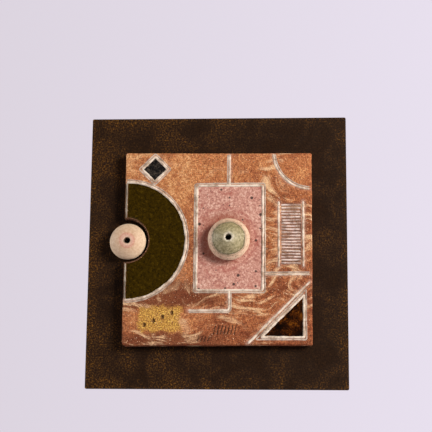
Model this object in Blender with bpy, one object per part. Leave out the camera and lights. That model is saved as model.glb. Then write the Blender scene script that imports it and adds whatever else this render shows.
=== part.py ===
# A ceramic relief tile and two ceramic cones on a patinated steel back panel.
# The object hangs on a wall. X runs to the right, Z runs up and the front faces -Y.
# The origin is the centre of the panel's back face, which lies against the wall.
# "Out" below is the distance from the wall, so a point that is out by d has y = -d.

import math

import bmesh
import bpy
from mathutils import Vector

# Back panel: a flat sheet with slightly eased corners and edges.
PANEL_WIDTH = 0.260
PANEL_HEIGHT = 0.276
PANEL_THICKNESS = 0.003
PANEL_CORNER_RADIUS = 0.0015
PANEL_EDGE_ROUND = 0.0004

# A rounded edge may narrow a plate's corner radius to this share of its own radius, and no further.
LEAST_CORNER_SHARE = 0.25

# The bed of adhesive behind each ceramic piece.
SEAT_GAP = 0.0003

# Tile: a rolled slab of stoneware.
TILE_WIDTH = 0.1875
TILE_HEIGHT = 0.1948
TILE_THICKNESS = 0.010
TILE_CORNER_RADIUS = 0.003
TILE_EDGE_ROUND = 0.0015
TILE_RIGHT_OF_CENTRE = 0.0006
TILE_ABOVE_CENTRE = 0.0016

# The notch in the tile's left edge, and the edge cone that stands in it, a little off its middle.
EDGE_CONE_DIAMETER = 0.0367
EDGE_CONE_HEIGHT = 0.0160
EDGE_CONE_FULLNESS = 1.60
EDGE_CONE_RIGHT_OF_NOTCH = 0.0014
EDGE_CONE_BELOW_NOTCH = 0.0008
NOTCH_INSET = 0.0024
NOTCH_ABOVE_TILE_CENTRE = 0.0073
NOTCH_CLEARANCE = 0.0036
NOTCH_RIM_WIDTH = 0.0013

# Centre cone.
CENTRE_CONE_DIAMETER = 0.0422
CENTRE_CONE_HEIGHT = 0.0205
CENTRE_CONE_FULLNESS = 1.20
CENTRE_CONE_RIGHT_OF_TILE_CENTRE = 0.0118
CENTRE_CONE_ABOVE_TILE_CENTRE = 0.0071

# What the two cones share: they were turned the same way. The side leans out from the foot to
# the rim, which is the widest circle. The fullness of each is the form of its flank above the
# rim: 1 is straight, as on a plain cone, and 2 is round, as on a dome.
CONE_RIM_HEIGHT = 0.0070
CONE_FOOT_NARROWING = 0.0016
CONE_BORE_DIAMETER = 0.006
CONE_LIP_WIDTH = 0.0010
CONE_LIP_ROUND = 0.0006
CONE_FLANK_STEPS = 12
CONE_SIDES = 48

# Slip lines: raised ridges trailed on the clay. The root is how deep a line's underside lies
# in the clay, and the two shares shape its section: the height of its shoulder and the width
# of its crown.
OUTLINE_WIDTH = 0.0024
OUTLINE_HEIGHT = 0.0009
LINE_WIDTH = 0.0020
LINE_HEIGHT = 0.0007
SLIP_ROOT = 0.0008
SLIP_SHOULDER_SHARE = 0.25
SLIP_CROWN_SHARE = 0.50

# Recesses that hold glaze. Each cuts a little way under the line around it.
POOL_DEPTH = 0.0015
WASH_DEPTH = 0.0005
POOL_UNDER_OUTLINE = 0.0003

# Half-disc at the left edge, concentric with the notch.
HALF_DISC_RADIUS = 0.060
EDGE_WALL = 0.0030

# Upright field around the centre cone.
FIELD_WIDTH = 0.066
FIELD_HEIGHT = 0.106
FIELD_RIGHT_OF_CONE = 0.0004
FIELD_ABOVE_CONE = 0.0029

# Triangle in the lower right corner, with a second line along its long side.
TRIANGLE_LEG = 0.042
TRIANGLE_MARGIN = 0.008
TRIANGLE_LINE_GAP = 0.005

# Lozenge in the upper left corner.
LOZENGE_HALF_WIDTH = 0.013
LOZENGE_FROM_LEFT = 0.030
LOZENGE_FROM_TOP = 0.017

# Combed strip near the right edge.
COMB_WIDTH = 0.020
COMB_LENGTH = 0.062
COMB_FROM_RIGHT = 0.0105
COMB_ABOVE_TRIANGLE = 0.030
COMB_PITCH = 0.0031
COMB_GROOVE_WIDTH = 0.0015
COMB_GROOVE_DEPTH = 0.0006
COMB_LINE_GAP = 0.0022
COMB_LINE_OVERRUN = 0.002

# Free lines.
CORNER_ARC_RADIUS = 0.038
SIDE_LINE_ABOVE_FIELD_FOOT = 0.016
FOOT_LINE_DROP = 0.020
FOOT_LINE_RUN = 0.040
LINE_END_MARGIN = 0.0006

# Row of finger-tool dents in the lower left corner. The lift is how far the middle of the
# ball that pressed each one stands out of the face.
DENT_COUNT = 4
DENT_HALF_WIDTH = 0.0015
DENT_HALF_HEIGHT = 0.0020
DENT_DEPTH = 0.0012
DENT_LIFT = 0.0004
DENT_STEP_RIGHT = 0.009
DENT_STEP_UP = 0.004
DENT_ROW_FROM_LEFT = 0.022
DENT_ROW_FROM_FOOT = 0.020
DENT_SIDES = 16
DENT_RINGS = 8

# Two rows of shallow slanted strokes near the foot of the tile. They stand for no writing.
STROKE_WIDTH = 0.0007
STROKE_DEPTH = 0.0005
STROKE_SLANT = 0.0020
STROKE_PITCH = 0.0034
TALL_STROKE_COUNT = 7
TALL_STROKE_HEIGHT = 0.008
TALL_ROW_FROM_LEFT = 0.090
TALL_ROW_FROM_FOOT = 0.011
SHORT_STROKE_COUNT = 4
SHORT_STROKE_HEIGHT = 0.0045
SHORT_ROW_FROM_LEFT = 0.074
SHORT_ROW_FROM_FOOT = 0.004

# How finely round things are divided, and how far a cutter runs past a face.
CORNER_STEPS = 5
ROUND_STEPS = 3
ARC_STEPS = 40
NOTCH_SIDES = 64
CUT_EXTRA = 0.002
SHARP_ANGLE = math.radians(35)

# Places worked out from the sizes above.
TILE_BACK = PANEL_THICKNESS + SEAT_GAP
TILE_FACE = TILE_BACK + TILE_THICKNESS
TILE_LEFT = TILE_RIGHT_OF_CENTRE - TILE_WIDTH / 2
TILE_RIGHT = TILE_RIGHT_OF_CENTRE + TILE_WIDTH / 2
TILE_FOOT = TILE_ABOVE_CENTRE - TILE_HEIGHT / 2
TILE_TOP = TILE_ABOVE_CENTRE + TILE_HEIGHT / 2

NOTCH_X = TILE_LEFT + NOTCH_INSET
NOTCH_Z = TILE_ABOVE_CENTRE + NOTCH_ABOVE_TILE_CENTRE
NOTCH_RADIUS = EDGE_CONE_DIAMETER / 2 + NOTCH_CLEARANCE
EDGE_CONE_X = NOTCH_X + EDGE_CONE_RIGHT_OF_NOTCH
EDGE_CONE_Z = NOTCH_Z - EDGE_CONE_BELOW_NOTCH

CENTRE_CONE_X = TILE_RIGHT_OF_CENTRE + CENTRE_CONE_RIGHT_OF_TILE_CENTRE
CENTRE_CONE_Z = TILE_ABOVE_CENTRE + CENTRE_CONE_ABOVE_TILE_CENTRE
CENTRE_CONE_SEAT = TILE_FACE - WASH_DEPTH + SEAT_GAP

FIELD_X = CENTRE_CONE_X + FIELD_RIGHT_OF_CONE
FIELD_Z = CENTRE_CONE_Z + FIELD_ABOVE_CONE
FIELD_LEFT = FIELD_X - FIELD_WIDTH / 2
FIELD_RIGHT = FIELD_X + FIELD_WIDTH / 2
FIELD_FOOT = FIELD_Z - FIELD_HEIGHT / 2
FIELD_TOP = FIELD_Z + FIELD_HEIGHT / 2

TRIANGLE_RIGHT = TILE_RIGHT - TRIANGLE_MARGIN
TRIANGLE_FOOT = TILE_FOOT + TRIANGLE_MARGIN

LOZENGE_X = TILE_LEFT + LOZENGE_FROM_LEFT
LOZENGE_Z = TILE_TOP - LOZENGE_FROM_TOP

COMB_RIGHT = TILE_RIGHT - COMB_FROM_RIGHT
COMB_LEFT = COMB_RIGHT - COMB_WIDTH
COMB_FOOT = TRIANGLE_FOOT + TRIANGLE_LEG + COMB_ABOVE_TRIANGLE
COMB_TOP = COMB_FOOT + COMB_LENGTH


def clear_scene():
    for thing in list(bpy.data.objects):
        bpy.data.objects.remove(thing)


def make_material(name, color, roughness, metallic=0.0):
    material = bpy.data.materials.new(name)
    material.use_nodes = True
    shader = material.node_tree.nodes["Principled BSDF"]
    shader.inputs["Base Color"].default_value = (*color, 1.0)
    shader.inputs["Roughness"].default_value = roughness
    shader.inputs["Metallic"].default_value = metallic
    return material


def make_object(name, bm, material=None):
    """Turns a bmesh into an object with its faces pointing out."""
    bmesh.ops.recalc_face_normals(bm, faces=bm.faces[:])
    mesh = bpy.data.meshes.new(name)
    bm.to_mesh(mesh)
    bm.free()
    thing = bpy.data.objects.new(name, mesh)
    bpy.context.scene.collection.objects.link(thing)
    if material:
        mesh.materials.append(material)
    return thing


def make_helper(name, bm):
    """A shape that only a Boolean uses, so it is left out of renders."""
    helper = make_object(name, bm)
    helper.hide_render = True
    helper.display_type = "WIRE"
    return helper


def smooth(thing):
    thing.data.shade_smooth()
    thing.data.set_sharp_from_angle(angle=SHARP_ANGLE)


def add_loops(bm, loops, ends_closed=True):
    """Skins a row of loops that have the same number of points, each point (x, z, out)."""
    rows = [[bm.verts.new((x, -out, z)) for x, z, out in loop] for loop in loops]
    pairs = list(zip(rows, rows[1:]))
    if not ends_closed:
        pairs.append((rows[-1], rows[0]))
    for near, far in pairs:
        for i in range(len(near)):
            j = (i + 1) % len(near)
            bm.faces.new((near[i], near[j], far[j], far[i]))
    if ends_closed:
        bm.faces.new(rows[0])
        bm.faces.new(rows[-1])


def arc_points(x, z, radius, start, end, steps):
    """Points on an arc, as (x, z), with angles in degrees from +X towards +Z."""
    angles = [math.radians(start + (end - start) * i / steps) for i in range(steps + 1)]
    return [(x + radius * math.cos(a), z + radius * math.sin(a)) for a in angles]


def rounded_rectangle(x, z, width, height, radius):
    points = []
    for start, side, rise in ((0, 1, 1), (90, -1, 1), (180, -1, -1), (270, 1, -1)):
        corner_x = x + side * (width / 2 - radius)
        corner_z = z + rise * (height / 2 - radius)
        points += arc_points(corner_x, corner_z, radius, start, start + 90, CORNER_STEPS)
    return points


def make_slab(name, x, z, width, height, corner, edge, back, face, material):
    """A plate from out = back to out = face, with rounded corners and rounded edges."""
    turns = [math.radians(90 * i / ROUND_STEPS) for i in range(ROUND_STEPS + 1)]
    rise = [(edge * (1 - math.sin(a)), back + edge * (1 - math.cos(a))) for a in turns]
    fall = [(inset, back + face - out) for inset, out in reversed(rise)]
    loops = []
    for inset, out in rise + fall:
        radius = max(corner - inset, edge * LEAST_CORNER_SHARE)
        outline = rounded_rectangle(x, z, width - 2 * inset, height - 2 * inset, radius)
        loops.append([(px, pz, out) for px, pz in outline])
    bm = bmesh.new()
    add_loops(bm, loops)
    return make_object(name, bm, material)


def add_prism(bm, outline, low, high):
    """A straight-sided block over an outline of (x, z) points."""
    add_loops(bm, [[(x, z, low) for x, z in outline], [(x, z, high) for x, z in outline]])


def offset_directions(path, closed):
    """For each point of a path, the sideways step that keeps a line's width at its corners."""
    points = [Vector(p) for p in path]
    count = len(points)
    directions = []
    for i, point in enumerate(points):
        before = points[i - 1] if closed or i > 0 else None
        after = points[(i + 1) % count] if closed or i < count - 1 else None
        into = (point - before).normalized() if before else None
        away = (after - point).normalized() if after else None
        into = into or away
        away = away or into
        mean = (into + away).normalized()
        side = Vector((-mean.y, mean.x))
        directions.append(side / side.dot(Vector((-into.y, into.x))))
    return directions


def add_ridge(bm, path, width, height, closed=False):
    """A raised line of slip along a path of (x, z) points, rooted in the clay."""
    half = width / 2
    shoulder = TILE_FACE + height * SLIP_SHOULDER_SHARE
    section = (
        (-half, TILE_FACE - SLIP_ROOT),
        (-half, shoulder),
        (-half * SLIP_CROWN_SHARE, TILE_FACE + height),
        (half * SLIP_CROWN_SHARE, TILE_FACE + height),
        (half, shoulder),
        (half, TILE_FACE - SLIP_ROOT),
    )
    loops = []
    for point, side in zip(path, offset_directions(path, closed)):
        loops.append([(point[0] + side.x * s, point[1] + side.y * s, out) for s, out in section])
    add_loops(bm, loops, ends_closed=not closed)


def half_disc_arc(radius, left):
    """The part of a circle about the notch's centre that lies right of x = left."""
    reach = math.degrees(math.acos((left - NOTCH_X) / radius))
    return arc_points(NOTCH_X, NOTCH_Z, radius, reach, -reach, ARC_STEPS)


def field_corners(inset):
    return [
        (FIELD_LEFT + inset, FIELD_FOOT + inset),
        (FIELD_RIGHT - inset, FIELD_FOOT + inset),
        (FIELD_RIGHT - inset, FIELD_TOP - inset),
        (FIELD_LEFT + inset, FIELD_TOP - inset),
    ]


def triangle_corners(inset):
    """Corners of the right-angled triangle, moved in from each of its three sides."""
    leg = TRIANGLE_LEG - inset * (2 + math.sqrt(2))
    right = TRIANGLE_RIGHT - inset
    foot = TRIANGLE_FOOT + inset
    return [(right, foot), (right, foot + leg), (right - leg, foot)]


def lozenge_corners(inset):
    half = LOZENGE_HALF_WIDTH - inset * math.sqrt(2)
    return [
        (LOZENGE_X - half, LOZENGE_Z),
        (LOZENGE_X, LOZENGE_Z - half),
        (LOZENGE_X + half, LOZENGE_Z),
        (LOZENGE_X, LOZENGE_Z + half),
    ]


def slip_outlines():
    """The lines around the four glazed fields."""
    bm = bmesh.new()
    half_disc = half_disc_arc(HALF_DISC_RADIUS, TILE_LEFT + TILE_EDGE_ROUND)
    add_ridge(bm, half_disc, OUTLINE_WIDTH, OUTLINE_HEIGHT)
    for corners in (field_corners(0), triangle_corners(0), lozenge_corners(0)):
        add_ridge(bm, corners, OUTLINE_WIDTH, OUTLINE_HEIGHT, closed=True)
    return make_helper("slip_outlines", bm)


def slip_lines():
    """The free lines, each ending in an outline or just short of the tile's rounded edge."""
    last_x = TILE_RIGHT - TILE_EDGE_ROUND - LINE_END_MARGIN
    last_z = TILE_TOP - TILE_EDGE_ROUND - LINE_END_MARGIN
    first_z = TILE_FOOT + TILE_EDGE_ROUND + LINE_END_MARGIN
    lines = [[(CENTRE_CONE_X, FIELD_TOP), (CENTRE_CONE_X, last_z)]]

    side_z = FIELD_FOOT + SIDE_LINE_ABOVE_FIELD_FOOT
    lines.append([(FIELD_RIGHT, side_z), (last_x, side_z)])

    turn_z = FIELD_FOOT - FOOT_LINE_DROP
    turn = (CENTRE_CONE_X, turn_z)
    lines.append([(CENTRE_CONE_X, FIELD_FOOT), turn, (CENTRE_CONE_X - FOOT_LINE_RUN, turn_z)])

    reach = math.degrees(math.asin((TILE_RIGHT - last_x) / CORNER_ARC_RADIUS))
    corner = (TILE_RIGHT, TILE_TOP)
    lines.append(arc_points(*corner, CORNER_ARC_RADIUS, 180 + reach, 270 - reach, ARC_STEPS // 2))

    along = TRIANGLE_RIGHT - TRIANGLE_FOOT - TRIANGLE_LEG - TRIANGLE_LINE_GAP * math.sqrt(2)
    lines.append([(first_z + along, first_z), (last_x, last_x - along)])

    for x in (COMB_LEFT - COMB_LINE_GAP, COMB_RIGHT + COMB_LINE_GAP):
        lines.append([(x, COMB_FOOT - COMB_LINE_OVERRUN), (x, COMB_TOP + COMB_LINE_OVERRUN)])

    bm = bmesh.new()
    for line in lines:
        add_ridge(bm, line, LINE_WIDTH, LINE_HEIGHT)
    return make_helper("slip_lines", bm)


def glaze_recesses():
    """The hollows under the glazes: three deep pools and one shallow wash."""
    inset = OUTLINE_WIDTH / 2 - POOL_UNDER_OUTLINE
    left = TILE_LEFT + EDGE_WALL
    outer = half_disc_arc(HALF_DISC_RADIUS - inset, left)
    inner = half_disc_arc(NOTCH_RADIUS + NOTCH_RIM_WIDTH, left)
    top = TILE_FACE + CUT_EXTRA
    bm = bmesh.new()
    add_prism(bm, outer + inner[::-1], TILE_FACE - POOL_DEPTH, top)
    add_prism(bm, triangle_corners(inset), TILE_FACE - POOL_DEPTH, top)
    add_prism(bm, lozenge_corners(inset), TILE_FACE - POOL_DEPTH, top)
    add_prism(bm, field_corners(inset), TILE_FACE - WASH_DEPTH, top)
    return make_helper("glaze_recesses", bm)


def add_comb_grooves(bm):
    count = int(COMB_LENGTH / COMB_PITCH)
    first = COMB_FOOT + (COMB_LENGTH - (count - 1) * COMB_PITCH) / 2
    for i in range(count):
        z = first + i * COMB_PITCH
        low, high = z - COMB_GROOVE_WIDTH / 2, z + COMB_GROOVE_WIDTH / 2
        groove = [(COMB_LEFT, low), (COMB_RIGHT, low), (COMB_RIGHT, high), (COMB_LEFT, high)]
        add_prism(bm, groove, TILE_FACE - COMB_GROOVE_DEPTH, TILE_FACE + CUT_EXTRA)


def add_dents(bm):
    for i in range(DENT_COUNT):
        x = TILE_LEFT + DENT_ROW_FROM_LEFT + i * DENT_STEP_RIGHT
        z = TILE_FOOT + DENT_ROW_FROM_FOOT + i * DENT_STEP_UP
        made = bmesh.ops.create_uvsphere(
            bm, u_segments=DENT_SIDES, v_segments=DENT_RINGS, radius=1.0
        )
        sizes = (DENT_HALF_WIDTH, DENT_DEPTH + DENT_LIFT, DENT_HALF_HEIGHT)
        bmesh.ops.scale(bm, vec=sizes, verts=made["verts"])
        bmesh.ops.translate(bm, vec=(x, -(TILE_FACE + DENT_LIFT), z), verts=made["verts"])


def add_strokes(bm, count, height, from_left, from_foot):
    for i in range(count):
        x = TILE_LEFT + from_left + i * STROKE_PITCH
        foot = TILE_FOOT + from_foot
        top = foot + height
        stroke = [
            (x, foot),
            (x + STROKE_WIDTH, foot),
            (x + STROKE_SLANT + STROKE_WIDTH, top),
            (x + STROKE_SLANT, top),
        ]
        add_prism(bm, stroke, TILE_FACE - STROKE_DEPTH, TILE_FACE + CUT_EXTRA)


def tool_marks():
    """Comb grooves, dents and strokes, which were pressed into the clay."""
    bm = bmesh.new()
    add_comb_grooves(bm)
    add_dents(bm)
    tall = (TALL_STROKE_COUNT, TALL_STROKE_HEIGHT, TALL_ROW_FROM_LEFT, TALL_ROW_FROM_FOOT)
    short = (SHORT_STROKE_COUNT, SHORT_STROKE_HEIGHT, SHORT_ROW_FROM_LEFT, SHORT_ROW_FROM_FOOT)
    add_strokes(bm, *tall)
    add_strokes(bm, *short)
    return make_helper("tool_marks", bm)


def notch_cutter():
    bm = bmesh.new()
    circle = arc_points(NOTCH_X, NOTCH_Z, NOTCH_RADIUS, 0, 360, NOTCH_SIDES)[:-1]
    add_prism(bm, circle, TILE_BACK - CUT_EXTRA, TILE_FACE + CUT_EXTRA)
    return make_helper("notch_cutter", bm)


def combine(thing, helper, operation):
    modifier = thing.modifiers.new(helper.name, "BOOLEAN")
    modifier.operation = operation
    modifier.solver = "EXACT"
    modifier.use_self = True
    modifier.object = helper


def make_panel():
    steel = make_material("patinated_steel", (0.022, 0.014, 0.009), 0.55, 0.6)
    panel = make_slab(
        "back_panel",
        0,
        0,
        PANEL_WIDTH,
        PANEL_HEIGHT,
        PANEL_CORNER_RADIUS,
        PANEL_EDGE_ROUND,
        0,
        PANEL_THICKNESS,
        steel,
    )
    smooth(panel)


def make_tile():
    clay = make_material("grogged_stoneware", (0.40, 0.19, 0.10), 0.85)
    tile = make_slab(
        "art_tile",
        TILE_RIGHT_OF_CENTRE,
        TILE_ABOVE_CENTRE,
        TILE_WIDTH,
        TILE_HEIGHT,
        TILE_CORNER_RADIUS,
        TILE_EDGE_ROUND,
        TILE_BACK,
        TILE_FACE,
        clay,
    )
    combine(tile, slip_outlines(), "UNION")
    combine(tile, slip_lines(), "UNION")
    combine(tile, glaze_recesses(), "DIFFERENCE")
    combine(tile, tool_marks(), "DIFFERENCE")
    combine(tile, notch_cutter(), "DIFFERENCE")


def cone_profile(diameter, height, fullness):
    """(radius, height) points from the foot, up the outside, over the lip and down the bore."""
    radius = diameter / 2
    bore = CONE_BORE_DIAMETER / 2
    lip = bore + CONE_LIP_ROUND + CONE_LIP_WIDTH
    rise = height - CONE_RIM_HEIGHT
    points = [(radius - CONE_FOOT_NARROWING, 0)]
    for i in range(CONE_FLANK_STEPS + 1):
        turn = math.pi / 2 * i / CONE_FLANK_STEPS
        across = max(math.cos(turn), 0) ** (2 / fullness)
        up = math.sin(turn) ** (2 / fullness)
        points.append((lip + (radius - lip) * across, CONE_RIM_HEIGHT + rise * up))
    points.append((bore + CONE_LIP_ROUND, height))
    points.append((bore, height - CONE_LIP_ROUND))
    points.append((bore, 0))
    return points


def make_cone(name, x, z, seat, form, material):
    """A cone turned about an axis that points out of the wall, with a bore through it.

    Its form is a diameter, a height and a fullness.
    """
    angles = [2 * math.pi * i / CONE_SIDES for i in range(CONE_SIDES)]
    loops = []
    for radius, up in cone_profile(*form):
        circle = [(x + radius * math.cos(a), z + radius * math.sin(a)) for a in angles]
        loops.append([(px, pz, seat + up) for px, pz in circle])
    bm = bmesh.new()
    add_loops(bm, loops, ends_closed=False)
    smooth(make_object(name, bm, material))


def make_cones():
    cream = make_material("cream_slip", (0.68, 0.55, 0.40), 0.6)
    green = make_material("grey_green_glaze", (0.42, 0.42, 0.28), 0.45)
    edge_seat = PANEL_THICKNESS + SEAT_GAP
    edge_form = (EDGE_CONE_DIAMETER, EDGE_CONE_HEIGHT, EDGE_CONE_FULLNESS)
    centre_form = (CENTRE_CONE_DIAMETER, CENTRE_CONE_HEIGHT, CENTRE_CONE_FULLNESS)
    make_cone("edge_cone", EDGE_CONE_X, EDGE_CONE_Z, edge_seat, edge_form, cream)
    make_cone("centre_cone", CENTRE_CONE_X, CENTRE_CONE_Z, CENTRE_CONE_SEAT, centre_form, green)


def main():
    clear_scene()
    make_panel()
    make_tile()
    make_cones()


main()
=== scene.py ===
# %% [markdown]
# # A stoneware relief tile and two cones on a patinated steel panel
#
# The object hangs flat on a wall. A square slab of gritty red-brown clay carries raised lines of
# pale slip, four glazed fields, a combed strip and a few tool marks. One small cone sits in a
# notch in its left edge and a larger one sits on the pink field. A dark steel sheet backs it all.
#
# The CAD model already has every size, so this script only adds what a maker's hand and a kiln
# add: wavy edges, grit, glaze that creeps up to the lines, and colour. The CAD model is loaded
# first, as a fixed frame. Everything is in metres, X to the right, Z up, front towards -Y.

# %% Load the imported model
import math
from functools import partial

import bmesh
import bpy
import numpy as np
from mathutils import Matrix, Vector
from mathutils.geometry import delaunay_2d_cdt
from mathutils.kdtree import KDTree


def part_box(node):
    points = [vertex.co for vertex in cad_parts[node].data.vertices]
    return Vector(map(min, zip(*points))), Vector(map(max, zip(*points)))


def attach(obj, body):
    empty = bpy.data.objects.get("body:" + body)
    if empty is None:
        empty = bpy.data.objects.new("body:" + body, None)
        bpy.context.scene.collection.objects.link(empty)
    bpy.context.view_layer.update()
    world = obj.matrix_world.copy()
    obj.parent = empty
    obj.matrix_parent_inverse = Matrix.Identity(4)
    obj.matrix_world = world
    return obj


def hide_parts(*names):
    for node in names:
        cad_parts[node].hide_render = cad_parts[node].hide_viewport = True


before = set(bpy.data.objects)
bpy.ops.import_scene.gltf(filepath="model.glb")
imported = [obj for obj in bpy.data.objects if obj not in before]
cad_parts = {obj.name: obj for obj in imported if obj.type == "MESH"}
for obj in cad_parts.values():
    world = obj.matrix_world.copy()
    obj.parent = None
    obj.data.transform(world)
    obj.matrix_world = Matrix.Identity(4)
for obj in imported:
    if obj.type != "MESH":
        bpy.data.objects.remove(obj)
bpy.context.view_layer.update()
MM = 0.001

# %% [markdown]
# ## Where things are
#
# The frame gives the boxes of the panel, the tile and the cones. The layout inside the tile is not
# in those boxes, so its sizes are repeated here from the CAD source.
#
# All work on the tile is done as on a bench: x runs to the right, z runs up the tile, and "out" is
# the height over the wall. Only the last step of each piece stands it up, with y = -out.

# %% Measure the frame
# The tile's box reaches to the top of its slip lines, so the clay's own thickness is given here.
TILE_THICKNESS = 10 * MM
tile_low, tile_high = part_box("art_tile")
TILE_LEFT, TILE_RIGHT = tile_low.x, tile_high.x
TILE_FOOT, TILE_TOP = tile_low.z, tile_high.z
TILE_BACK = -tile_high.y
TILE_FACE = TILE_BACK + TILE_THICKNESS
TILE_BOX = (TILE_LEFT, TILE_RIGHT, TILE_FOOT, TILE_TOP)
panel_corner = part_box("back_panel")[1]


def round_thing(node):
    """Centre, radius, seat and tip of a cone of the frame."""
    low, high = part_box(node)
    centre = ((low.x + high.x) / 2, (low.z + high.z) / 2)
    return centre, (high.x - low.x) / 2, -high.y, -low.y


EDGE_CONE, EDGE_CONE_RADIUS, EDGE_CONE_SEAT, EDGE_CONE_TIP = round_thing("edge_cone")
CENTRE_CONE, CENTRE_CONE_RADIUS, CENTRE_CONE_SEAT, CENTRE_CONE_TIP = round_thing("centre_cone")
tile_size = [round(side / MM, 1) for side in (TILE_RIGHT - TILE_LEFT, TILE_TOP - TILE_FOOT)]
print("tile width and height in mm:", tile_size)

# %% Layout of the tile
NOTCH_CLEARANCE, NOTCH_RIM_WIDTH = 3.6 * MM, 1.3 * MM
NOTCH = (TILE_LEFT + 2.4 * MM, (TILE_FOOT + TILE_TOP) / 2 + 7.3 * MM)
NOTCH_RADIUS = EDGE_CONE_RADIUS + NOTCH_CLEARANCE
NOTCH_RIM = NOTCH_RADIUS + NOTCH_RIM_WIDTH
HALF_DISC_RADIUS = 60 * MM
POOL_LEFT = TILE_LEFT + 3 * MM

FIELD_WIDTH, FIELD_HEIGHT = 66 * MM, 106 * MM
FIELD_LEFT = CENTRE_CONE[0] + 0.4 * MM - FIELD_WIDTH / 2
FIELD_RIGHT = FIELD_LEFT + FIELD_WIDTH
FIELD_FOOT = CENTRE_CONE[1] + 2.9 * MM - FIELD_HEIGHT / 2
FIELD_TOP = FIELD_FOOT + FIELD_HEIGHT
FIELD_BOX = (FIELD_LEFT, FIELD_RIGHT, FIELD_FOOT, FIELD_TOP)
print("pink field in mm:", round(FIELD_WIDTH / MM), "wide and", round(FIELD_HEIGHT / MM), "high")

TRIANGLE_RIGHT = TILE_RIGHT - 8 * MM
TRIANGLE_FOOT = TILE_FOOT + 8 * MM
TRIANGLE_LEG = 42 * MM
TRIANGLE_LINE_GAP = 5 * MM

LOZENGE = (TILE_LEFT + 30 * MM, TILE_TOP - 17 * MM)
LOZENGE_HALF = 13 * MM

COMB_RIGHT = TILE_RIGHT - 10.5 * MM
COMB_LEFT = COMB_RIGHT - 20 * MM
COMB_FOOT = TRIANGLE_FOOT + 72 * MM
COMB_TOP = COMB_FOOT + 62 * MM
COMB_PITCH = 3.1 * MM
COMB_BOX = (COMB_LEFT, COMB_RIGHT, COMB_FOOT, COMB_TOP)

# Open lines end a little inside the tile's edges, and the comb's two lines run past its ends.
LINE_END_INSET = 2.1 * MM
HALF_DISC_LINE_LEFT = TILE_LEFT + 1.5 * MM
CORNER_ARC_RADIUS = 38 * MM
SIDE_LINE_RISE, FOOT_LINE_DROP, FOOT_LINE_LENGTH = 16 * MM, 20 * MM, 40 * MM
COMB_LINE_GAP, COMB_LINE_OVERRUN = 2.2 * MM, 2 * MM
FIELD_ROUND, TRIANGLE_ROUND, LOZENGE_ROUND = 2.5 * MM, 1.6 * MM, 1.8 * MM

OUTLINE_WIDTH, OUTLINE_HEIGHT = 2.4 * MM, 0.9 * MM
LINE_WIDTH, LINE_HEIGHT = 2.0 * MM, 0.7 * MM
POOL_DEPTH, WASH_DEPTH, COMB_DEPTH = 1.5 * MM, 0.5 * MM, 0.6 * MM

# A recess starts this far inside the middle of the line around it.
RECESS_INSET = OUTLINE_WIDTH / 2 - 0.3 * MM

# Dents and strokes are a little wider and deeper here than in the CAD, so that they show beside
# the grit. The dents climb to the right, and the strokes stand in two rows.
DENTS = [(TILE_LEFT + (22 + 9 * i) * MM, TILE_FOOT + (20 + 4 * i) * MM) for i in range(4)]
DENT_HALF_WIDTH, DENT_HALF_HEIGHT, DENT_DEPTH = 1.9 * MM, 2.4 * MM, 1.3 * MM
STROKES = [
    (TILE_LEFT + (from_left + 3.4 * i) * MM, TILE_FOOT + from_foot * MM, height * MM)
    for count, height, from_left, from_foot in ((7, 8, 90, 11), (4, 4.5, 74, 4))
    for i in range(count)
]
STROKE_SLANT = 2 * MM
STROKE_WIDTH, STROKE_DEPTH = 0.9 * MM, 0.6 * MM
OCHRE_PATCH = (TILE_LEFT + 16 * MM, TILE_LEFT + 58 * MM, TILE_FOOT + 14 * MM, TILE_FOOT + 38 * MM)

# %% [markdown]
# ## Camera
#
# The photograph was taken with a long lens from a little right of the middle and from below it, in
# the tile's own frame, because the real one leans back on a table. The place, turn and lens were
# fitted to the corners of the panel and the tile.

# %% Make the camera
camera_data = bpy.data.cameras.new("photo_camera")
camera_data.lens = 100
camera_data.sensor_width = 36
camera = bpy.data.objects.new("photo_camera", camera_data)
bpy.context.scene.collection.objects.link(camera)
bpy.context.scene.camera = camera


def aim(yaw, pitch, roll):
    """A camera's turn, in degrees: yaw to the right, pitch up, then roll about the view."""
    yaw, pitch, roll = (math.radians(a) for a in (yaw, pitch, roll))
    ahead = Vector((math.sin(yaw) * math.cos(pitch), math.cos(yaw) * math.cos(pitch), math.sin(pitch)))
    level = Vector((math.cos(yaw), -math.sin(yaw), 0))
    above = level.cross(ahead)
    right = level * math.cos(roll) + above * math.sin(roll)
    up = above * math.cos(roll) - level * math.sin(roll)
    return Matrix((right, up, -ahead)).transposed()


camera.matrix_world = Matrix.Translation((0.0702, -1.1877, -0.2082)) @ aim(-3.47, 11.61, 0.53).to_4x4()
print("camera stands", round(-camera.location.y, 2), "m in front of the wall")

# %% [markdown]
# ## One helper for nodes and one for colours
#
# Shader nodes and geometry nodes are added in the same way: make the node, set its properties, then
# fill or link its inputs. One function does that, and each material or tree below calls it `add`,
# tied to its own nodes. Colours are picked as sRGB hex values, as in a paint program, and sockets
# hold linear light, so one function converts them.

# %% Node and colour helpers
def colour(code):
    """Turns an sRGB hex value such as #B07850 into linear red, green, blue and alpha."""
    parts = [int(code[i : i + 2], 16) / 255 for i in (1, 3, 5)]
    linear = [p / 12.92 if p <= 0.04045 else ((p + 0.055) / 1.055) ** 2.4 for p in parts]
    return (*linear, 1.0)


def feed(node, **inputs):
    """Fills inputs of a node. Each gets a value, a socket, or a node whose first output feeds it.

    An input is named by its label, with _ for a space, or by its identifier, such as Value_001.
    """
    for name, value in inputs.items():
        words = (name, name.replace("_", " "))
        found = [s for s in node.inputs if s.enabled and (s.name in words or s.identifier in words)]
        if isinstance(value, bpy.types.Node):
            value = next(s for s in value.outputs if s.enabled)
        if isinstance(value, bpy.types.NodeSocket):
            node.id_data.links.new(value, found[0])
        else:
            found[0].default_value = value


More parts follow.
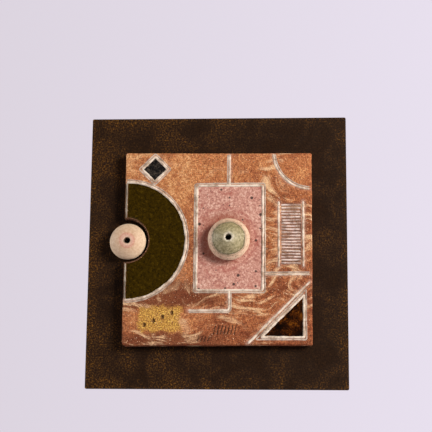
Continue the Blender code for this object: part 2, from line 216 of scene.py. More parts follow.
def add_node(tree, kind, stops=(), **settings):
    """Adds a node. Lower-case settings are its properties and capitalised ones its inputs.

    A kind without "Node" in it, such as Math, is a shader node, and stops are those of a colour ramp.
    """
    node = tree.nodes.new(kind if "Node" in kind else "ShaderNode" + kind)
    for name, value in settings.items():
        if name[0].islower():
            setattr(node, name, value)
    feed(node, **{name: value for name, value in settings.items() if name[0].isupper()})
    for i, (place, code) in enumerate(stops):
        elements = node.color_ramp.elements
        stop = elements[i] if i < 2 else elements.new(place)
        stop.position, stop.color = place, colour(code)
    return node


def new_material(name):
    """A material, its node helper, its shader, and the surface point to build patterns on."""
    material = bpy.data.materials.new(name)
    material.use_nodes = True
    add = partial(add_node, material.node_tree)
    shader = material.node_tree.nodes["Principled BSDF"]
    place = add("TexCoord").outputs["Object"]
    return material, add, shader, place


def around(add, place, centre):
    """The distance of the surface point from an axis that points out of the wall at (x, z)."""
    centred = add("Mapping", Vector=place, Location=(-centre[0], 0.0, -centre[1]), Scale=(1.0, 0.0, 1.0))
    return add("VectorMath", Vector=centred, operation="LENGTH").outputs["Value"]


# %% [markdown]
# ## Stage: floor, backdrop light and lamps
#
# The backdrop is plain pale lavender light. Dark glossy glaze shows whatever stands in front of
# it, so the same world is dim for every ray but the camera's. That is how a photographer keeps
# black glaze black: the room in front of the piece is left dark. A softbox at the right, a little
# above the piece, gives the shadows to the left. A weaker one far to the left only grazes the face
# and lights the cones' left flanks, and a large, very weak one above lifts the darkest places. One
# behind the panel is there for its back, which the photograph does not show.

# %% Build the stage
def make_world():
    """Pale lavender for the camera, and nearly dark for everything else."""
    world = bpy.data.worlds.new("pale_backdrop")
    bpy.context.scene.world = world
    world.use_nodes = True
    add = partial(add_node, world.node_tree)
    direction = add("TexCoord").outputs["Generated"]
    sideways = add("SeparateXYZ", Vector=direction)
    across = add("MapRange", Value=sideways, From_Min=-0.25, From_Max=0.12)
    lavender = ((0.0, "#DCD4DF"), (1.0, "#E8E0EE"))
    seen = add("ValToRGB", lavender, Fac=across)
    backdrop = add("Background", Color=seen)
    room = add("Background", Color=colour("#E6E2EA"), Strength=0.02)
    rays = add("LightPath").outputs["Is Camera Ray"]
    mixed = add("MixShader", Fac=rays, Shader=room, Shader_001=backdrop)
    feed(world.node_tree.nodes["World Output"], Surface=mixed)


def make_softbox(name, place, size, watts, tint):
    """A square area lamp that faces the middle of the object."""
    lamp = bpy.data.lights.new(name, "AREA")
    lamp.size = size
    lamp.energy = watts
    lamp.color = colour(tint)[:3]
    box = bpy.data.objects.new(name, lamp)
    box.location = place
    box.rotation_euler = (-Vector(place)).to_track_quat("-Z", "Y").to_euler()
    bpy.context.scene.collection.objects.link(box)


def make_floor():
    """A pale floor. Only the camera sees its glow, so it does not light the piece from below."""
    bpy.ops.mesh.primitive_plane_add(size=6.0, location=(0, 0, -0.9))
    floor = bpy.context.object
    floor.name = "floor"
    paint, add, shader, _ = new_material("pale floor paint")
    pale = colour("#D9D6DC")
    rays = add("LightPath").outputs["Is Camera Ray"]
    glow = add("Math", Value=rays, Value_001=0.55, operation="MULTIPLY")
    feed(shader, Base_Color=pale, Roughness=0.8, Emission_Color=pale, Emission_Strength=glow)
    floor.data.materials.append(paint)


# Standard shows each colour as it was picked.
bpy.context.scene.view_settings.view_transform = "Standard"
make_world()
make_softbox("key_softbox", (1.26, -1.0, 0.44), 0.62, 38.0, "#FFF6EC")
make_softbox("left_softbox", (-1.5, -0.20, 0.34), 0.8, 17.0, "#FFF8F2")
make_softbox("fill_softbox", (-0.5, -1.4, 1.2), 1.2, 0.8, "#F4F2FF")
make_softbox("back_softbox", (1.2, 1.6, 0.5), 1.0, 28.0, "#F4F2FF")
make_floor()
print("lamps:", sorted(lamp.name for lamp in bpy.data.lights))

# %% [markdown]
# ## Patterns and paths
#
# Handwork is uneven in a smooth way. `soft_noise` gives such unevenness at a chosen size, the same
# on every run because each pattern has its own seed. Paths are lists of (x, z) points, and small
# functions make arcs, round corners, space points evenly, find sides and measure distances.

# %% Noise helpers
def soft_noise(x, z, size, seed):
    """Smooth values from -1 to 1 that change over about `size` metres."""
    grid = np.random.default_rng(seed).uniform(-1, 1, (256, 256))
    u, v = np.asarray(x) / size + 97.3, np.asarray(z) / size + 61.7
    i, j = np.floor(u).astype(int), np.floor(v).astype(int)
    s, t = u - i, v - j
    s, t = s * s * (3 - 2 * s), t * t * (3 - 2 * t)
    i, j, right, above = i % 256, j % 256, (i + 1) % 256, (j + 1) % 256
    low = grid[i, j] * (1 - s) + grid[right, j] * s
    high = grid[i, above] * (1 - s) + grid[right, above] * s
    return low * (1 - t) + high * t


def smooth_step(value, start, end):
    """Rises from 0 at start to 1 at end, without corners."""
    t = np.clip((value - start) / (end - start), 0, 1)
    return t * t * (3 - 2 * t)


# %% Path helpers
def arc(centre, radius, start, end, steps=48):
    """Points on an arc, with angles in degrees from +x towards +z."""
    angles = np.radians(np.linspace(start, end, steps + 1))
    return np.column_stack((centre[0] + radius * np.cos(angles), centre[1] + radius * np.sin(angles)))


def box_corners(box):
    """The corners of a rectangle, anticlockwise from the lower left."""
    left, right, foot, top = box
    return np.array([(left, foot), (right, foot), (right, top), (left, top)])


def spaced(path, step, closed):
    """The same path with its points `step` apart."""
    points = np.vstack((path, path[:1])) if closed else np.asarray(path)
    along = np.concatenate(([0], np.cumsum(np.hypot(*np.diff(points, axis=0).T))))
    count = max(2, round(along[-1] / step))
    marks = np.linspace(0, along[-1], count + 1)
    if closed:
        marks = marks[:-1]
    return np.column_stack([np.interp(marks, along, points[:, k]) for k in (0, 1)])


def bend(start, corner, end, steps=5):
    """Points from start to end, on a soft bend round a corner."""
    t = np.linspace(0, 1, steps + 1)[:, None]
    return np.array(start) * (1 - t) ** 2 + np.array(corner) * 2 * t * (1 - t) + np.array(end) * t**2


def rounded(corners, radius, closed=True):
    """A path through corners that a hand has rounded off, by one radius or by one for each."""
    corners = [np.array(c, float) for c in corners]
    radii = np.broadcast_to(radius, len(corners))
    runs = []
    for i, corner in enumerate(corners):
        if not closed and i in (0, len(corners) - 1):
            runs.append(corner[None])
            continue
        before = corners[i - 1] - corner
        after = corners[(i + 1) % len(corners)] - corner
        start = corner + before / np.linalg.norm(before) * radii[i]
        end = corner + after / np.linalg.norm(after) * radii[i]
        runs.append(bend(start, corner, end))
    return np.vstack(runs)


def left_sides(path):
    """The unit step to the left of a closed path, at each of its points."""
    along = np.roll(path, -1, axis=0) - np.roll(path, 1, axis=0)
    side = np.column_stack((-along[:, 1], along[:, 0]))
    return side / np.linalg.norm(side, axis=1)[:, None]


def beside(path, step):
    """The same open path, moved to its left by `step`."""
    path = spaced(path, 1 * MM, False)
    along = np.gradient(path, axis=0)
    side = np.column_stack((-along[:, 1], along[:, 0]))
    return path + side / np.linalg.norm(side, axis=1)[:, None] * step


def nearest(points, targets):
    """The distance from each point to the closest target, all (x, z)."""
    tree = KDTree(len(targets))
    for i, (x, z) in enumerate(targets):
        tree.insert((x, z, 0), i)
    tree.balance()
    return np.array([tree.find((x, z, 0))[2] for x, z in points])


# %% [markdown]
# ## Closed slabs of clay and glaze
#
# The tile and every pool of glaze are one kind of form: a top that follows a rule, over an outline,
# with sides and a flat back. A grid of points in a honeycomb keeps the triangles even, and extra
# points go where the form turns sharply. Blender's constrained Delaunay triangulation joins them
# and keeps the outline. The rule then lifts each point of the top.

# %% Points for a slab
def honeycomb(outline, pitch, margin):
    """Points in a honeycomb that lie inside a closed outline and at least `margin` from it."""
    low, high = outline.min(axis=0), outline.max(axis=0)
    row_step = pitch * math.sqrt(3) / 2
    rows = np.arange(low[1], high[1], row_step)
    columns = np.arange(low[0], high[0], pitch)
    x, z = np.meshgrid(columns, rows)
    x = x + (np.arange(len(rows)) % 2)[:, None] * pitch / 2
    points = np.column_stack((x.ravel(), z.ravel()))
    ahead = np.roll(outline, -1, axis=0)
    inside = np.zeros(len(points), bool)
    for (ax, az), (bx, bz) in zip(outline, ahead):
        if az != bz:
            crosses = (az > points[:, 1]) != (bz > points[:, 1])
            inside ^= crosses & (points[:, 0] < (bx - ax) * (points[:, 1] - az) / (bz - az) + ax)
    points = points[inside]
    return points[nearest(points, outline) > margin]


def thin_out(points, least):
    """Drops each point that shares a cell of size `least` with an earlier one."""
    cells = np.round(points / least).astype(int)
    first = np.unique(cells, axis=0, return_index=True)[1]
    return points[np.sort(first)]


def triangulate(outline, inner):
    """Joins an outline and points inside it. The outline's points stay first."""
    points = [Vector((x / MM, z / MM)) for x, z in np.vstack((outline, inner))]
    count = len(outline)
    edges = [(i, (i + 1) % count) for i in range(count)]
    made = delaunay_2d_cdt(points, edges, [], 1, 1e-5)
    if len(made[0]) != len(points):
        raise ValueError("an outline crosses itself, so the triangulation changed its points")
    return np.array([tuple(p) for p in made[0]]) * MM, made[2]


def stand_up(points):
    """Bench points (x, z, out) as points of the hanging object."""
    return np.column_stack((points[:, 0], -points[:, 2], points[:, 1]))


# %% Pieces from points
def finish_piece(thing, slot, *nodes):
    """Hands a finished piece to the frame: its body and what it stands for. The slot argument is not used."""
    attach(thing, "root")
    if nodes:
        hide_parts(*nodes)
    faces = sum(len(p.vertices) - 2 for p in thing.data.polygons)
    print(f"{thing.name}: {faces} triangles")


def make_piece(name, points, faces, material):
    """An upright object from bench points, with its faces outwards."""
    mesh = bpy.data.meshes.new(name)
    mesh.from_pydata(stand_up(np.asarray(points)), [], faces)
    mesh.materials.append(material)
    bm = bmesh.new()
    bm.from_mesh(mesh)
    bmesh.ops.recalc_face_normals(bm, faces=bm.faces[:])
    open_edges = sum(e.is_boundary for e in bm.edges)
    print(f"{name}: volume {bm.calc_volume() * 1e6:.1f} cm3, open edges {open_edges}")
    bm.to_mesh(mesh)
    bm.free()
    mesh.shade_smooth()
    thing = bpy.data.objects.new(name, mesh)
    bpy.context.scene.collection.objects.link(thing)
    return thing


def cast_slab(name, outline, inner, top, rows, material):
    """A closed piece whose sides drop from the top in rows of (inset, out), the last one its back."""
    flat, faces = triangulate(outline, inner)
    points = [np.column_stack((flat, top(flat[:, 0], flat[:, 1])))]
    count, start, total = len(outline), 0, len(flat)
    sides = left_sides(outline)
    faces = [tuple(f) for f in faces]
    for inset, out in rows:
        row = outline + sides * inset
        points.append(np.column_stack((row, np.full(count, out))))
        for i in range(count):
            j = (i + 1) % count
            faces.append((start + i, start + j, total + j, total + i))
        start, total = total, total + count
    back_faces = triangulate(points[-1][:, :2], np.zeros((0, 2)))[1]
    faces += [tuple(start + k for k in f) for f in back_faces]
    return make_piece(name, np.vstack(points), faces, material)


def add_values(thing, name, rule):
    """Stores a rule of x and z at each point of an upright piece, for its material to read."""
    flat = np.empty(len(thing.data.vertices) * 3)
    thing.data.vertices.foreach_get("co", flat)
    values = rule(flat[0::3], flat[2::3])
    attribute = thing.data.attributes.new(name, "FLOAT", "POINT")
    attribute.data.foreach_set("value", values.astype(np.float32))


# %% [markdown]
# ## Paths of the slip lines
#
# The same paths are used three times: the slip is swept along them, the glaze ends at them, and
# the clay beside them is smoothed and smeared. A slip trailer is guided by hand, so corners are a
# little round.

# %% Paths
def half_disc_arc(radius, left):
    """Upwards along the part of a circle about the notch that lies right of x = left."""
    reach = math.degrees(math.acos((left - NOTCH[0]) / radius))
    return arc(NOTCH, radius, -reach, reach)


def half_disc_outline(inset, slack):
    """Round the half-disc pool, anticlockwise: outer arc, left wall and the rim of the notch."""
    left = POOL_LEFT - slack
    outer = half_disc_arc(HALF_DISC_RADIUS - inset, left)
    inner = half_disc_arc(NOTCH_RIM - slack, left)
    return np.vstack((outer, inner[::-1]))


def field_outline(inset):
    """Round the upright field, moved inwards by `inset`."""
    left, right = FIELD_LEFT + inset, FIELD_RIGHT - inset
    foot, top = FIELD_FOOT + inset, FIELD_TOP - inset
    return rounded(box_corners((left, right, foot, top)), FIELD_ROUND)


def triangle_outline(inset):
    """Round the triangle at the foot, with all three sides moved inwards by `inset`."""
    right, foot = TRIANGLE_RIGHT - inset, TRIANGLE_FOOT + inset
    leg = TRIANGLE_LEG - inset * (2 + math.sqrt(2))
    return rounded([(right, foot), (right, foot + leg), (right - leg, foot)], TRIANGLE_ROUND)


def lozenge_outline(inset):
    """Round the lozenge at the top, with all four sides moved inwards by `inset`."""
    half = LOZENGE_HALF - inset * math.sqrt(2)
    x, z = LOZENGE
    corners = [(x - half, z), (x, z - half), (x + half, z), (x, z + half)]
    return rounded(corners, LOZENGE_ROUND)


def free_lines():
    """The lines that end freely or in an outline."""
    middle = CENTRE_CONE[0]
    last_x, last_z = TILE_RIGHT - LINE_END_INSET, TILE_TOP - LINE_END_INSET
    first_z = TILE_FOOT + LINE_END_INSET
    side_z, turn_z = FIELD_FOOT + SIDE_LINE_RISE, FIELD_FOOT - FOOT_LINE_DROP
    along = TRIANGLE_RIGHT - TRIANGLE_FOOT - TRIANGLE_LEG - TRIANGLE_LINE_GAP * math.sqrt(2)
    reach = math.degrees(math.asin((TILE_RIGHT - last_x) / CORNER_ARC_RADIUS))
    foot_corners = [(middle, FIELD_FOOT), (middle, turn_z), (middle - FOOT_LINE_LENGTH, turn_z)]
    lines = [
        [(middle, FIELD_TOP), (middle, last_z)],
        [(FIELD_RIGHT, side_z), (last_x, side_z)],
        rounded(foot_corners, FIELD_ROUND, closed=False),
        arc((TILE_RIGHT, TILE_TOP), CORNER_ARC_RADIUS, 180 + reach, 270 - reach),
        [(first_z + along, first_z), (last_x, last_x - along)],
    ]
    for x in (COMB_LEFT - COMB_LINE_GAP, COMB_RIGHT + COMB_LINE_GAP):
        lines.append([(x, COMB_FOOT - COMB_LINE_OVERRUN), (x, COMB_TOP + COMB_LINE_OVERRUN)])
    return [np.array(line) for line in lines]


HALF_DISC_LINE = half_disc_arc(HALF_DISC_RADIUS, HALF_DISC_LINE_LEFT)
CLOSED_OUTLINES = [field_outline(0), triangle_outline(0), lozenge_outline(0)]
FREE_LINES = free_lines()
SLIP_POINTS = np.vstack(
    [spaced(path, 0.5 * MM, True) for path in CLOSED_OUTLINES]
    + [spaced(path, 0.5 * MM, False) for path in [HALF_DISC_LINE, *FREE_LINES]]
)
print("points along the slip lines:", len(SLIP_POINTS))

# %% [markdown]
# ## Clay: the shape of the slab
#
# The slab was rolled out, cut with a knife and handled while soft, so its outline wanders by about
# a third of a millimetre and its edges are rounded by a finger. Recesses were cut for the glazes,
# a comb and a ball tool were pressed in, and the face was wiped with a wet rib, which leaves
# streaks.

# %% Clay relief
# The walls of a recess lean by this much, and dents and strokes have raised lips this high.
WALL_RUN = 0.3 * MM
DENT_LIP, STROKE_LIP = 0.22 * MM, 0.12 * MM
# The rib's streaks are about this deep.
STREAK_RELIEF = 0.26 * MM
# Nearer to a slip line than this, the face is smooth and holds no grains.
SLIP_CLEAR = 1.6 * MM


def inside_box(x, z, box):
    """How far points lie inside a rectangle, given as left, right, foot and top."""
    left, right, foot, top = box
    return np.minimum(np.minimum(x - left, right - x), np.minimum(z - foot, top - z))


def notch_distance(x, z):
    """The distance of points from the middle of the notch."""
    return np.hypot(x - NOTCH[0], z - NOTCH[1])


def slip_distance(x, z):
    """The distance of points from the middle of the nearest slip line."""
    return nearest(np.column_stack((x, z)), SLIP_POINTS)


def recess_depth(x, z):
    """How deep the five recesses are cut at each point."""
    from_notch = notch_distance(x, z)
    half_disc = np.minimum(HALF_DISC_RADIUS - RECESS_INSET - from_notch, from_notch - NOTCH_RIM)
    half_disc = np.minimum(half_disc, x - POOL_LEFT)
    field = inside_box(x, z, FIELD_BOX) - RECESS_INSET
    slope = (x - TRIANGLE_RIGHT + TRIANGLE_LEG - z + TRIANGLE_FOOT) / math.sqrt(2)
    triangle = np.minimum(slope, np.minimum(TRIANGLE_RIGHT - x, z - TRIANGLE_FOOT)) - RECESS_INSET
    lozenge = (LOZENGE_HALF - abs(x - LOZENGE[0]) - abs(z - LOZENGE[1])) / math.sqrt(2) - RECESS_INSET
    comb = inside_box(x, z, COMB_BOX)
    forms = (
        (half_disc, POOL_DEPTH),
        (triangle, POOL_DEPTH),
        (lozenge, POOL_DEPTH),
        (field, WASH_DEPTH),
        (comb, COMB_DEPTH),
    )
    return np.max([deep * smooth_step(inside, 0, WALL_RUN) for inside, deep in forms], axis=0)


def streaks(x, z):
    """Where the wet rib dragged the clay along: level near the foot, slanting at the right."""
    along, across = x * 0.42 + z * -0.91, x * 0.91 + z * 0.42
    slanting = soft_noise(along / 5, across, 2.6 * MM, 31) + 0.5 * soft_noise(along / 3, across, 1.3 * MM, 32)
    level = soft_noise(x / 7, z, 2.6 * MM, 33) + 0.5 * soft_noise(x / 4, z, 1.3 * MM, 34)
    right = smooth_step(x, 0.040, 0.056) * smooth_step(z, -0.045, -0.020)
    drag = right * slanting + (1 - right) * level
    return wiped(x, z) * smooth_step(drag, 0.0, 0.8)


def wiped(x, z):
    """How much the face was wiped: hard at the right and near the foot, and in patches."""
    right = smooth_step(x, 0.036, 0.056)
    low = smooth_step(-z, 0.030, 0.050)
    patches = smooth_step(soft_noise(x, z, 19 * MM, 35) + 0.4 * soft_noise(x, z, 7 * MM, 36), -0.6, 0.2)
    return patches * np.clip(0.25 + right + low, 0, 1)


def tool_marks(x, z):
    """Dents with a raised lip, and shallow slanted strokes."""
    out = np.zeros_like(x)
    for dent_x, dent_z in DENTS:
        share = np.hypot((x - dent_x) / DENT_HALF_WIDTH, (z - dent_z) / DENT_HALF_HEIGHT)
        out -= DENT_DEPTH * np.sqrt(np.clip(1 - share**2, 0, 1))
        out += DENT_LIP * np.exp(-(((share - 1.2) / 0.22) ** 2))
    for foot_x, foot_z, height in STROKES:
        lean = STROKE_SLANT / height
        up = np.clip(z - foot_z, 0, height)
        aside = np.hypot(x - foot_x - STROKE_WIDTH / 2 - up * lean, z - foot_z - up)
        half = STROKE_WIDTH / 2 + 0.1 * MM
        out -= STROKE_DEPTH * np.clip(1 - (aside / half) ** 2, 0, 1)
        out += STROKE_LIP * np.exp(-(((aside - half * 1.5) / (0.25 * MM)) ** 2))
    return out


def clay_skin(x, z):
    """The unevenness of the rolled and wiped face."""
    out = 0.20 * MM * soft_noise(x, z, 42 * MM, 11) + 0.08 * MM * soft_noise(x, z, 11 * MM, 12)
    out += 0.06 * MM * soft_noise(x, z, 3.2 * MM, 13) + 0.05 * MM * soft_noise(x, z, 1.5 * MM, 14)
    return out + STREAK_RELIEF * streaks(x, z)


# %% Outline of the tile
def tile_outline():
    """Round the tile anticlockwise, ending with the notch. The knife cut it a little out of square."""
    corners = [
        (TILE_LEFT + 0.3 * MM, TILE_FOOT - 0.6 * MM),
        (TILE_RIGHT + 0.2 * MM, TILE_FOOT + 0.6 * MM),
        (TILE_RIGHT + 0.4 * MM, TILE_TOP - 1.1 * MM),
        (TILE_LEFT + 0.2 * MM, TILE_TOP + 0.1 * MM),
    ]
    radii = np.array((4.5, 1.4, 1.4, 2.2)) * MM
    notch = half_disc_arc(NOTCH_RADIUS, TILE_LEFT + 0.25 * MM)[::-1]
    path = spaced(np.vstack((rounded(corners, radii), notch)), 0.8 * MM, True)
    wander = 0.28 * MM * soft_noise(*path.T, 24 * MM, 21) + 0.10 * MM * soft_noise(*path.T, 4 * MM, 22)
    return path + left_sides(path) * wander[:, None]


TILE_OUTLINE = tile_outline()
print("points round the tile:", len(TILE_OUTLINE))


# %% Clay body
def clay_top(x, z):
    """The whole face: skin, recesses, marks and the rounded edge."""
    outline = spaced(TILE_OUTLINE, 0.25 * MM, True)
    near_edge = inside_box(x, z, TILE_BOX) < 4 * MM
    from_notch = notch_distance(x, z)
    near_edge |= from_notch < NOTCH_RIM
    # A metre stands for "far": those points are not on the rounded edge.
    edge = np.full_like(x, 1.0)
    edge[near_edge] = nearest(np.column_stack((x, z))[near_edge], outline)
    turn = np.where(from_notch < NOTCH_RIM, 0.7, 1.6 + 0.35 * soft_noise(x, z, 15 * MM, 23)) * MM
    short = np.clip(turn - edge, 0, turn)
    drop = turn - np.sqrt(turn**2 - short**2)
    # The face was smoothed where the slip lines were to go.
    uneven = smooth_step(slip_distance(x, z), SLIP_CLEAR, 4 * MM)
    return TILE_FACE + uneven * clay_skin(x, z) - recess_depth(x, z) + tool_marks(x, z) - drop


def clay_points():
    """Honeycomb points, with closer ones at edges, walls and marks."""
    sides = left_sides(TILE_OUTLINE)
    sets = [TILE_OUTLINE + sides * step * MM for step in (0.12, 0.35, 0.7, 1.2, 1.8)]
    walls = [half_disc_outline(RECESS_INSET, 0), field_outline(RECESS_INSET)]
    walls += [triangle_outline(RECESS_INSET), lozenge_outline(RECESS_INSET)]
    walls.append(box_corners(COMB_BOX))
    for wall in walls:
        path = spaced(wall, 0.7 * MM, True)
        sets += [path, path + left_sides(path) * WALL_RUN]
    for x, z in DENTS:
        for share in (0.02, 0.3, 0.55, 0.75, 0.9, 1.0, 1.1, 1.25, 1.5):
            ring = arc((0, 0), share, 0, 360, 24)[:-1]
            sets.append(ring * (DENT_HALF_WIDTH, DENT_HALF_HEIGHT) + (x, z))
    for foot_x, foot_z, height in STROKES:
        up = np.arange(-0.6 * MM, height + 0.6 * MM, 0.4 * MM)
        for aside in (-0.75, -0.45, -0.2, 0, 0.2, 0.45, 0.75):
            x = foot_x + STROKE_WIDTH / 2 + up * STROKE_SLANT / height + aside * MM
            sets.append(np.column_stack((x, foot_z + up)))
    close = thin_out(np.vstack(sets), 0.16 * MM)
    even = honeycomb(TILE_OUTLINE, 0.95 * MM, 0.5 * MM)
    even = even[nearest(even, close) > 0.45 * MM]
    return np.vstack((close, even))


def cast_clay(material):
    """The whole tile in clay, with slightly uneven sides."""
    rim = clay_top(*TILE_OUTLINE.T).mean()
    drops = np.linspace(rim, TILE_BACK + 0.6 * MM, 8)[1:]
    rows = [(0.06 * MM * (-1) ** i, out) for i, out in enumerate(drops)]
    rows.append((0.3 * MM, TILE_BACK))
    return cast_slab("tile_clay_body", TILE_OUTLINE, clay_points(), clay_top, rows, material)


# %% [markdown]
# ## Patinated steel
#
# The back panel is mild steel sheet that was rusted on purpose, then oiled and waxed. Wax makes
# the rust brown-black and satin. Fine grains of golden rust show through everywhere, and more of
# it blooms where water stood longest, along the edges. The CAD node stays and takes this finish.

# %% Patinated steel
RUST_BAND = 12 * MM


def make_steel():
    """Brown waxed steel with golden rust in blooms, most at the left and along the edges."""
    material, add, shader, place = new_material("patinated mild steel, rusted and waxed")
    # Rust pits are a few tenths of a millimetre, drawn at about 1.5 mm so that they show, and
    # blooms of rust spread over about 30 mm.
    grain = add("TexNoise", Vector=place, Scale=640.0, Detail=4.0, Roughness=0.75)
    bloom = add("TexNoise", Vector=place, Scale=30.0, Detail=6.0, Roughness=0.62, Distortion=0.6)
    # How far a point is past an inner rectangle, in the band along the panel's edges.
    size = add("VectorMath", Vector=place, operation="ABSOLUTE")
    inner = (panel_corner.x - RUST_BAND, 0.0, panel_corner.z - RUST_BAND)
    past = add("VectorMath", Vector=size, Vector_001=inner, operation="SUBTRACT")
    sides = add("SeparateXYZ", Vector=past).outputs
    edge = add("Math", Value=sides["X"], Value_001=sides["Z"], operation="MAXIMUM")
    near_edge = add("MapRange", Value=edge, From_Max=RUST_BAND, To_Max=0.13)
    # Water ran to the left side, so more rust lies there than at the right.
    left = add("SeparateXYZ", Vector=place).outputs["X"]
    left = add("Math", Value=left, Value_001=-0.55, Value_002=near_edge, operation="MULTIPLY_ADD")
    rust = add("Math", Value=bloom, Value_001=left, operation="ADD")
    rusted = add("MapRange", Value=rust, From_Min=0.47, From_Max=0.74)
    speckle = add("MapRange", Value=grain, From_Min=0.47, From_Max=0.66)
    amount = add("Math", Value=rusted, Value_001=speckle, operation="MULTIPLY")
    wax_tones = ((0.30, "#130A05"), (0.50, "#25170D"), (0.64, "#362312"), (0.78, "#573B1A"))
    waxed = add("ValToRGB", wax_tones, Fac=grain)
    gold_tones = ((0.36, "#2E180A"), (0.50, "#5A360F"), (0.64, "#8F6018"))
    golden = add("ValToRGB", gold_tones, Fac=grain)
    surface = add("Mix", Factor=amount, A=waxed, B=golden, data_type="RGBA")
    gloss = add("MapRange", Value=rust, From_Min=0.4, From_Max=0.75, To_Min=0.42, To_Max=0.75)
    pits = add("Bump", Height=grain, Strength=0.5, Distance=0.12 * MM)
    feed(shader, Base_Color=surface, Roughness=gloss, Normal=pits, IOR=1.48, Specular_IOR_Level=0.14)
    return material


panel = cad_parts["back_panel"]
panel.material_slots[0].material = make_steel()
print("patinated steel on", panel.name)

# %% [markdown]
# ## Unglazed stoneware
#
# The clay is a red-brown stoneware with grog, which is ground fired clay that keeps a slab from
# warping. Fired without glaze it is dry and gritty, with light and dark grains. It is paler at the
# upper left, where a thin buff slip was wiped over it, and deeper rust brown towards the foot.
# Five values stored on the mesh tell the material where the rib wiped the clay into veins, where
# iron-rich clay lies, where slip was smeared beside the lines, where ochre was sponged on, and
# where it is darkened: a dark stained rim round the notch and wall left of the half-disc, darker
# clay in the comb's grooves and in the strokes, and painted shade in the dents.

# %% Stoneware
def marbling(add, place):
    """Drawn-out veins that bend with a broad noise, as where two clays were wiped together."""
    sway = add("TexNoise", Vector=place, Scale=13.0, Detail=2.0).outputs["Color"]
    sway = add("VectorMath", Vector=sway, Vector_001=(0.5, 0.5, 0.5), operation="SUBTRACT")
    sway = add("VectorMath", Vector=sway, Scale=0.11, operation="SCALE")
    bent = add("VectorMath", Vector=place, Vector_001=sway, operation="ADD")
    drawn = add("Mapping", Vector=bent, Scale=(24.0, 60.0, 120.0))
    return add("TexNoise", Vector=drawn, Scale=1.0, Detail=6.0, Roughness=0.68)


def make_clay():
    """Dry red-brown clay: mottled, veined, stained and gritty, with patches of slip and ochre."""
    material, add, shader, place = new_material("grogged red-brown stoneware, unglazed")
    # Patches of about 20 mm, and mottling of 2 to 3 mm. Grog is 0.2 to 0.8 mm; its noise changes
    # over about 1 mm, which is what a pixel shows.
    broad = add("TexNoise", Vector=place, Scale=45.0, Detail=3.0)
    mottle = add("TexNoise", Vector=place, Scale=420.0, Detail=5.0, Roughness=0.7)
    grit = add("TexNoise", Vector=place, Scale=820.0, Detail=3.0, Roughness=0.7)
    # Lightness falls from the top of the tile to its foot, and a little from left to right.
    parts = add("SeparateXYZ", Vector=place).outputs
    tone = -0.40
    for part, share in ((parts["X"], -0.9), (parts["Z"], 1.0), (broad, 0.6), (mottle, 1.3)):
        tone = add("Math", Value=part, Value_001=share, Value_002=tone, operation="MULTIPLY_ADD")
    body_tones = (
        (0.30, "#74391F"),
        (0.45, "#985836"),
        (0.60, "#AF6C43"),
        (0.75, "#C58756"),
        (0.95, "#DFAE7E"),
    )
    surface = add("ValToRGB", body_tones, Fac=tone)
    stored = {
        name: add("Attribute", attribute_name=name).outputs["Fac"]
        for name in ("wiped", "iron", "ochre", "smear", "stain_and_shade")
    }
    veins = marbling(add, place)
    rusty = add("MapRange", Value=veins, From_Min=0.49, From_Max=0.36, To_Max=0.8)
    rusty = add("Math", Value=rusty, Value_001=stored["wiped"], operation="MULTIPLY")
    buff = add("MapRange", Value=veins, From_Min=0.51, From_Max=0.61, To_Max=0.8)
    buff = add("Math", Value=buff, Value_001=stored["wiped"], operation="MULTIPLY")
    ochre_tones = ((0.36, "#9A6430"), (0.50, "#C08C40"), (0.64, "#E0B458"))
    ochre = add("ValToRGB", ochre_tones, Fac=grit)
    # Each coat lies over the ones before it, where its share says.
    coats = (
        (stored["iron"], colour("#6A3620")),
        (rusty, colour("#6C3620")),
        (buff, colour("#E8C298")),
        (stored["ochre"], ochre),
        (stored["smear"], colour("#CDAA98")),
        # Dark brown: stained on the notch's rim and the wall left of the half-disc, darker in the grooves and
        # strokes, painted shade in the dents.
        (stored["stain_and_shade"], colour("#4A3426")),
    )
    for share, coat in coats:
        surface = add("Mix", Factor=share, A=surface, B=coat, data_type="RGBA")
    # Overlay leaves a colour as it is under linear 0.5, which is #BCBCBC.
    grit_tones = ((0.34, "#6E6E6E"), (0.50, "#BCBCBC"), (0.66, "#EEEEEE"))
    grains = add("ValToRGB", grit_tones, Fac=grit)
    gritty = add("Mix", Factor=0.85, A=surface, B=grains, data_type="RGBA", blend_type="OVERLAY")
    coarse = add("Bump", Height=mottle, Strength=0.5, Distance=0.5 * MM)
    fine = add("Bump", Height=grit, Strength=0.7, Distance=0.2 * MM, Normal=coarse)
    feed(shader, Base_Color=gritty, Roughness=0.88, Normal=fine, IOR=1.5, Specular_IOR_Level=0.3)
    return material


# %% Values for the clay
def smear_value(x, z):
    """Slip that was wiped off stays in the pores beside each line, and thinly in the comb."""
    aside = slip_distance(x, z)
    patchy = 0.55 + 0.45 * soft_noise(x, z, 9 * MM, 41)
    comb = smooth_step(inside_box(x, z, COMB_BOX), -1 * MM, 1 * MM)
    return np.clip(np.exp(-((aside / (2.1 * MM)) ** 2)) * patchy + 0.35 * comb, 0, 0.9)


def iron_value(x, z):
    """Iron-rich clay was wiped along the lower left in two ragged bands."""
    ragged = 4 * MM * soft_noise(x, z, 16 * MM, 44) + 1.5 * MM * soft_noise(x, z, 4 * MM, 45)
    up = z + ragged - TILE_FOOT
    upper = np.minimum(up - 38 * MM, 62 * MM - up)
    band = smooth_step(np.maximum(upper, 12 * MM - up), -2 * MM, 3 * MM)
    return 0.75 * band * smooth_step(0.02 - x, 0, 0.03)


def ochre_value(x, z):
    """A patch of ochre with a sponge's ragged edge."""
    ragged = 2.2 * MM * soft_noise(x, z, 4 * MM, 42) + 1.2 * MM * soft_noise(x, z, 1.5 * MM, 43)
    return 0.92 * smooth_step(inside_box(x, z, OCHRE_PATCH) + ragged, -2 * MM, 2.5 * MM)


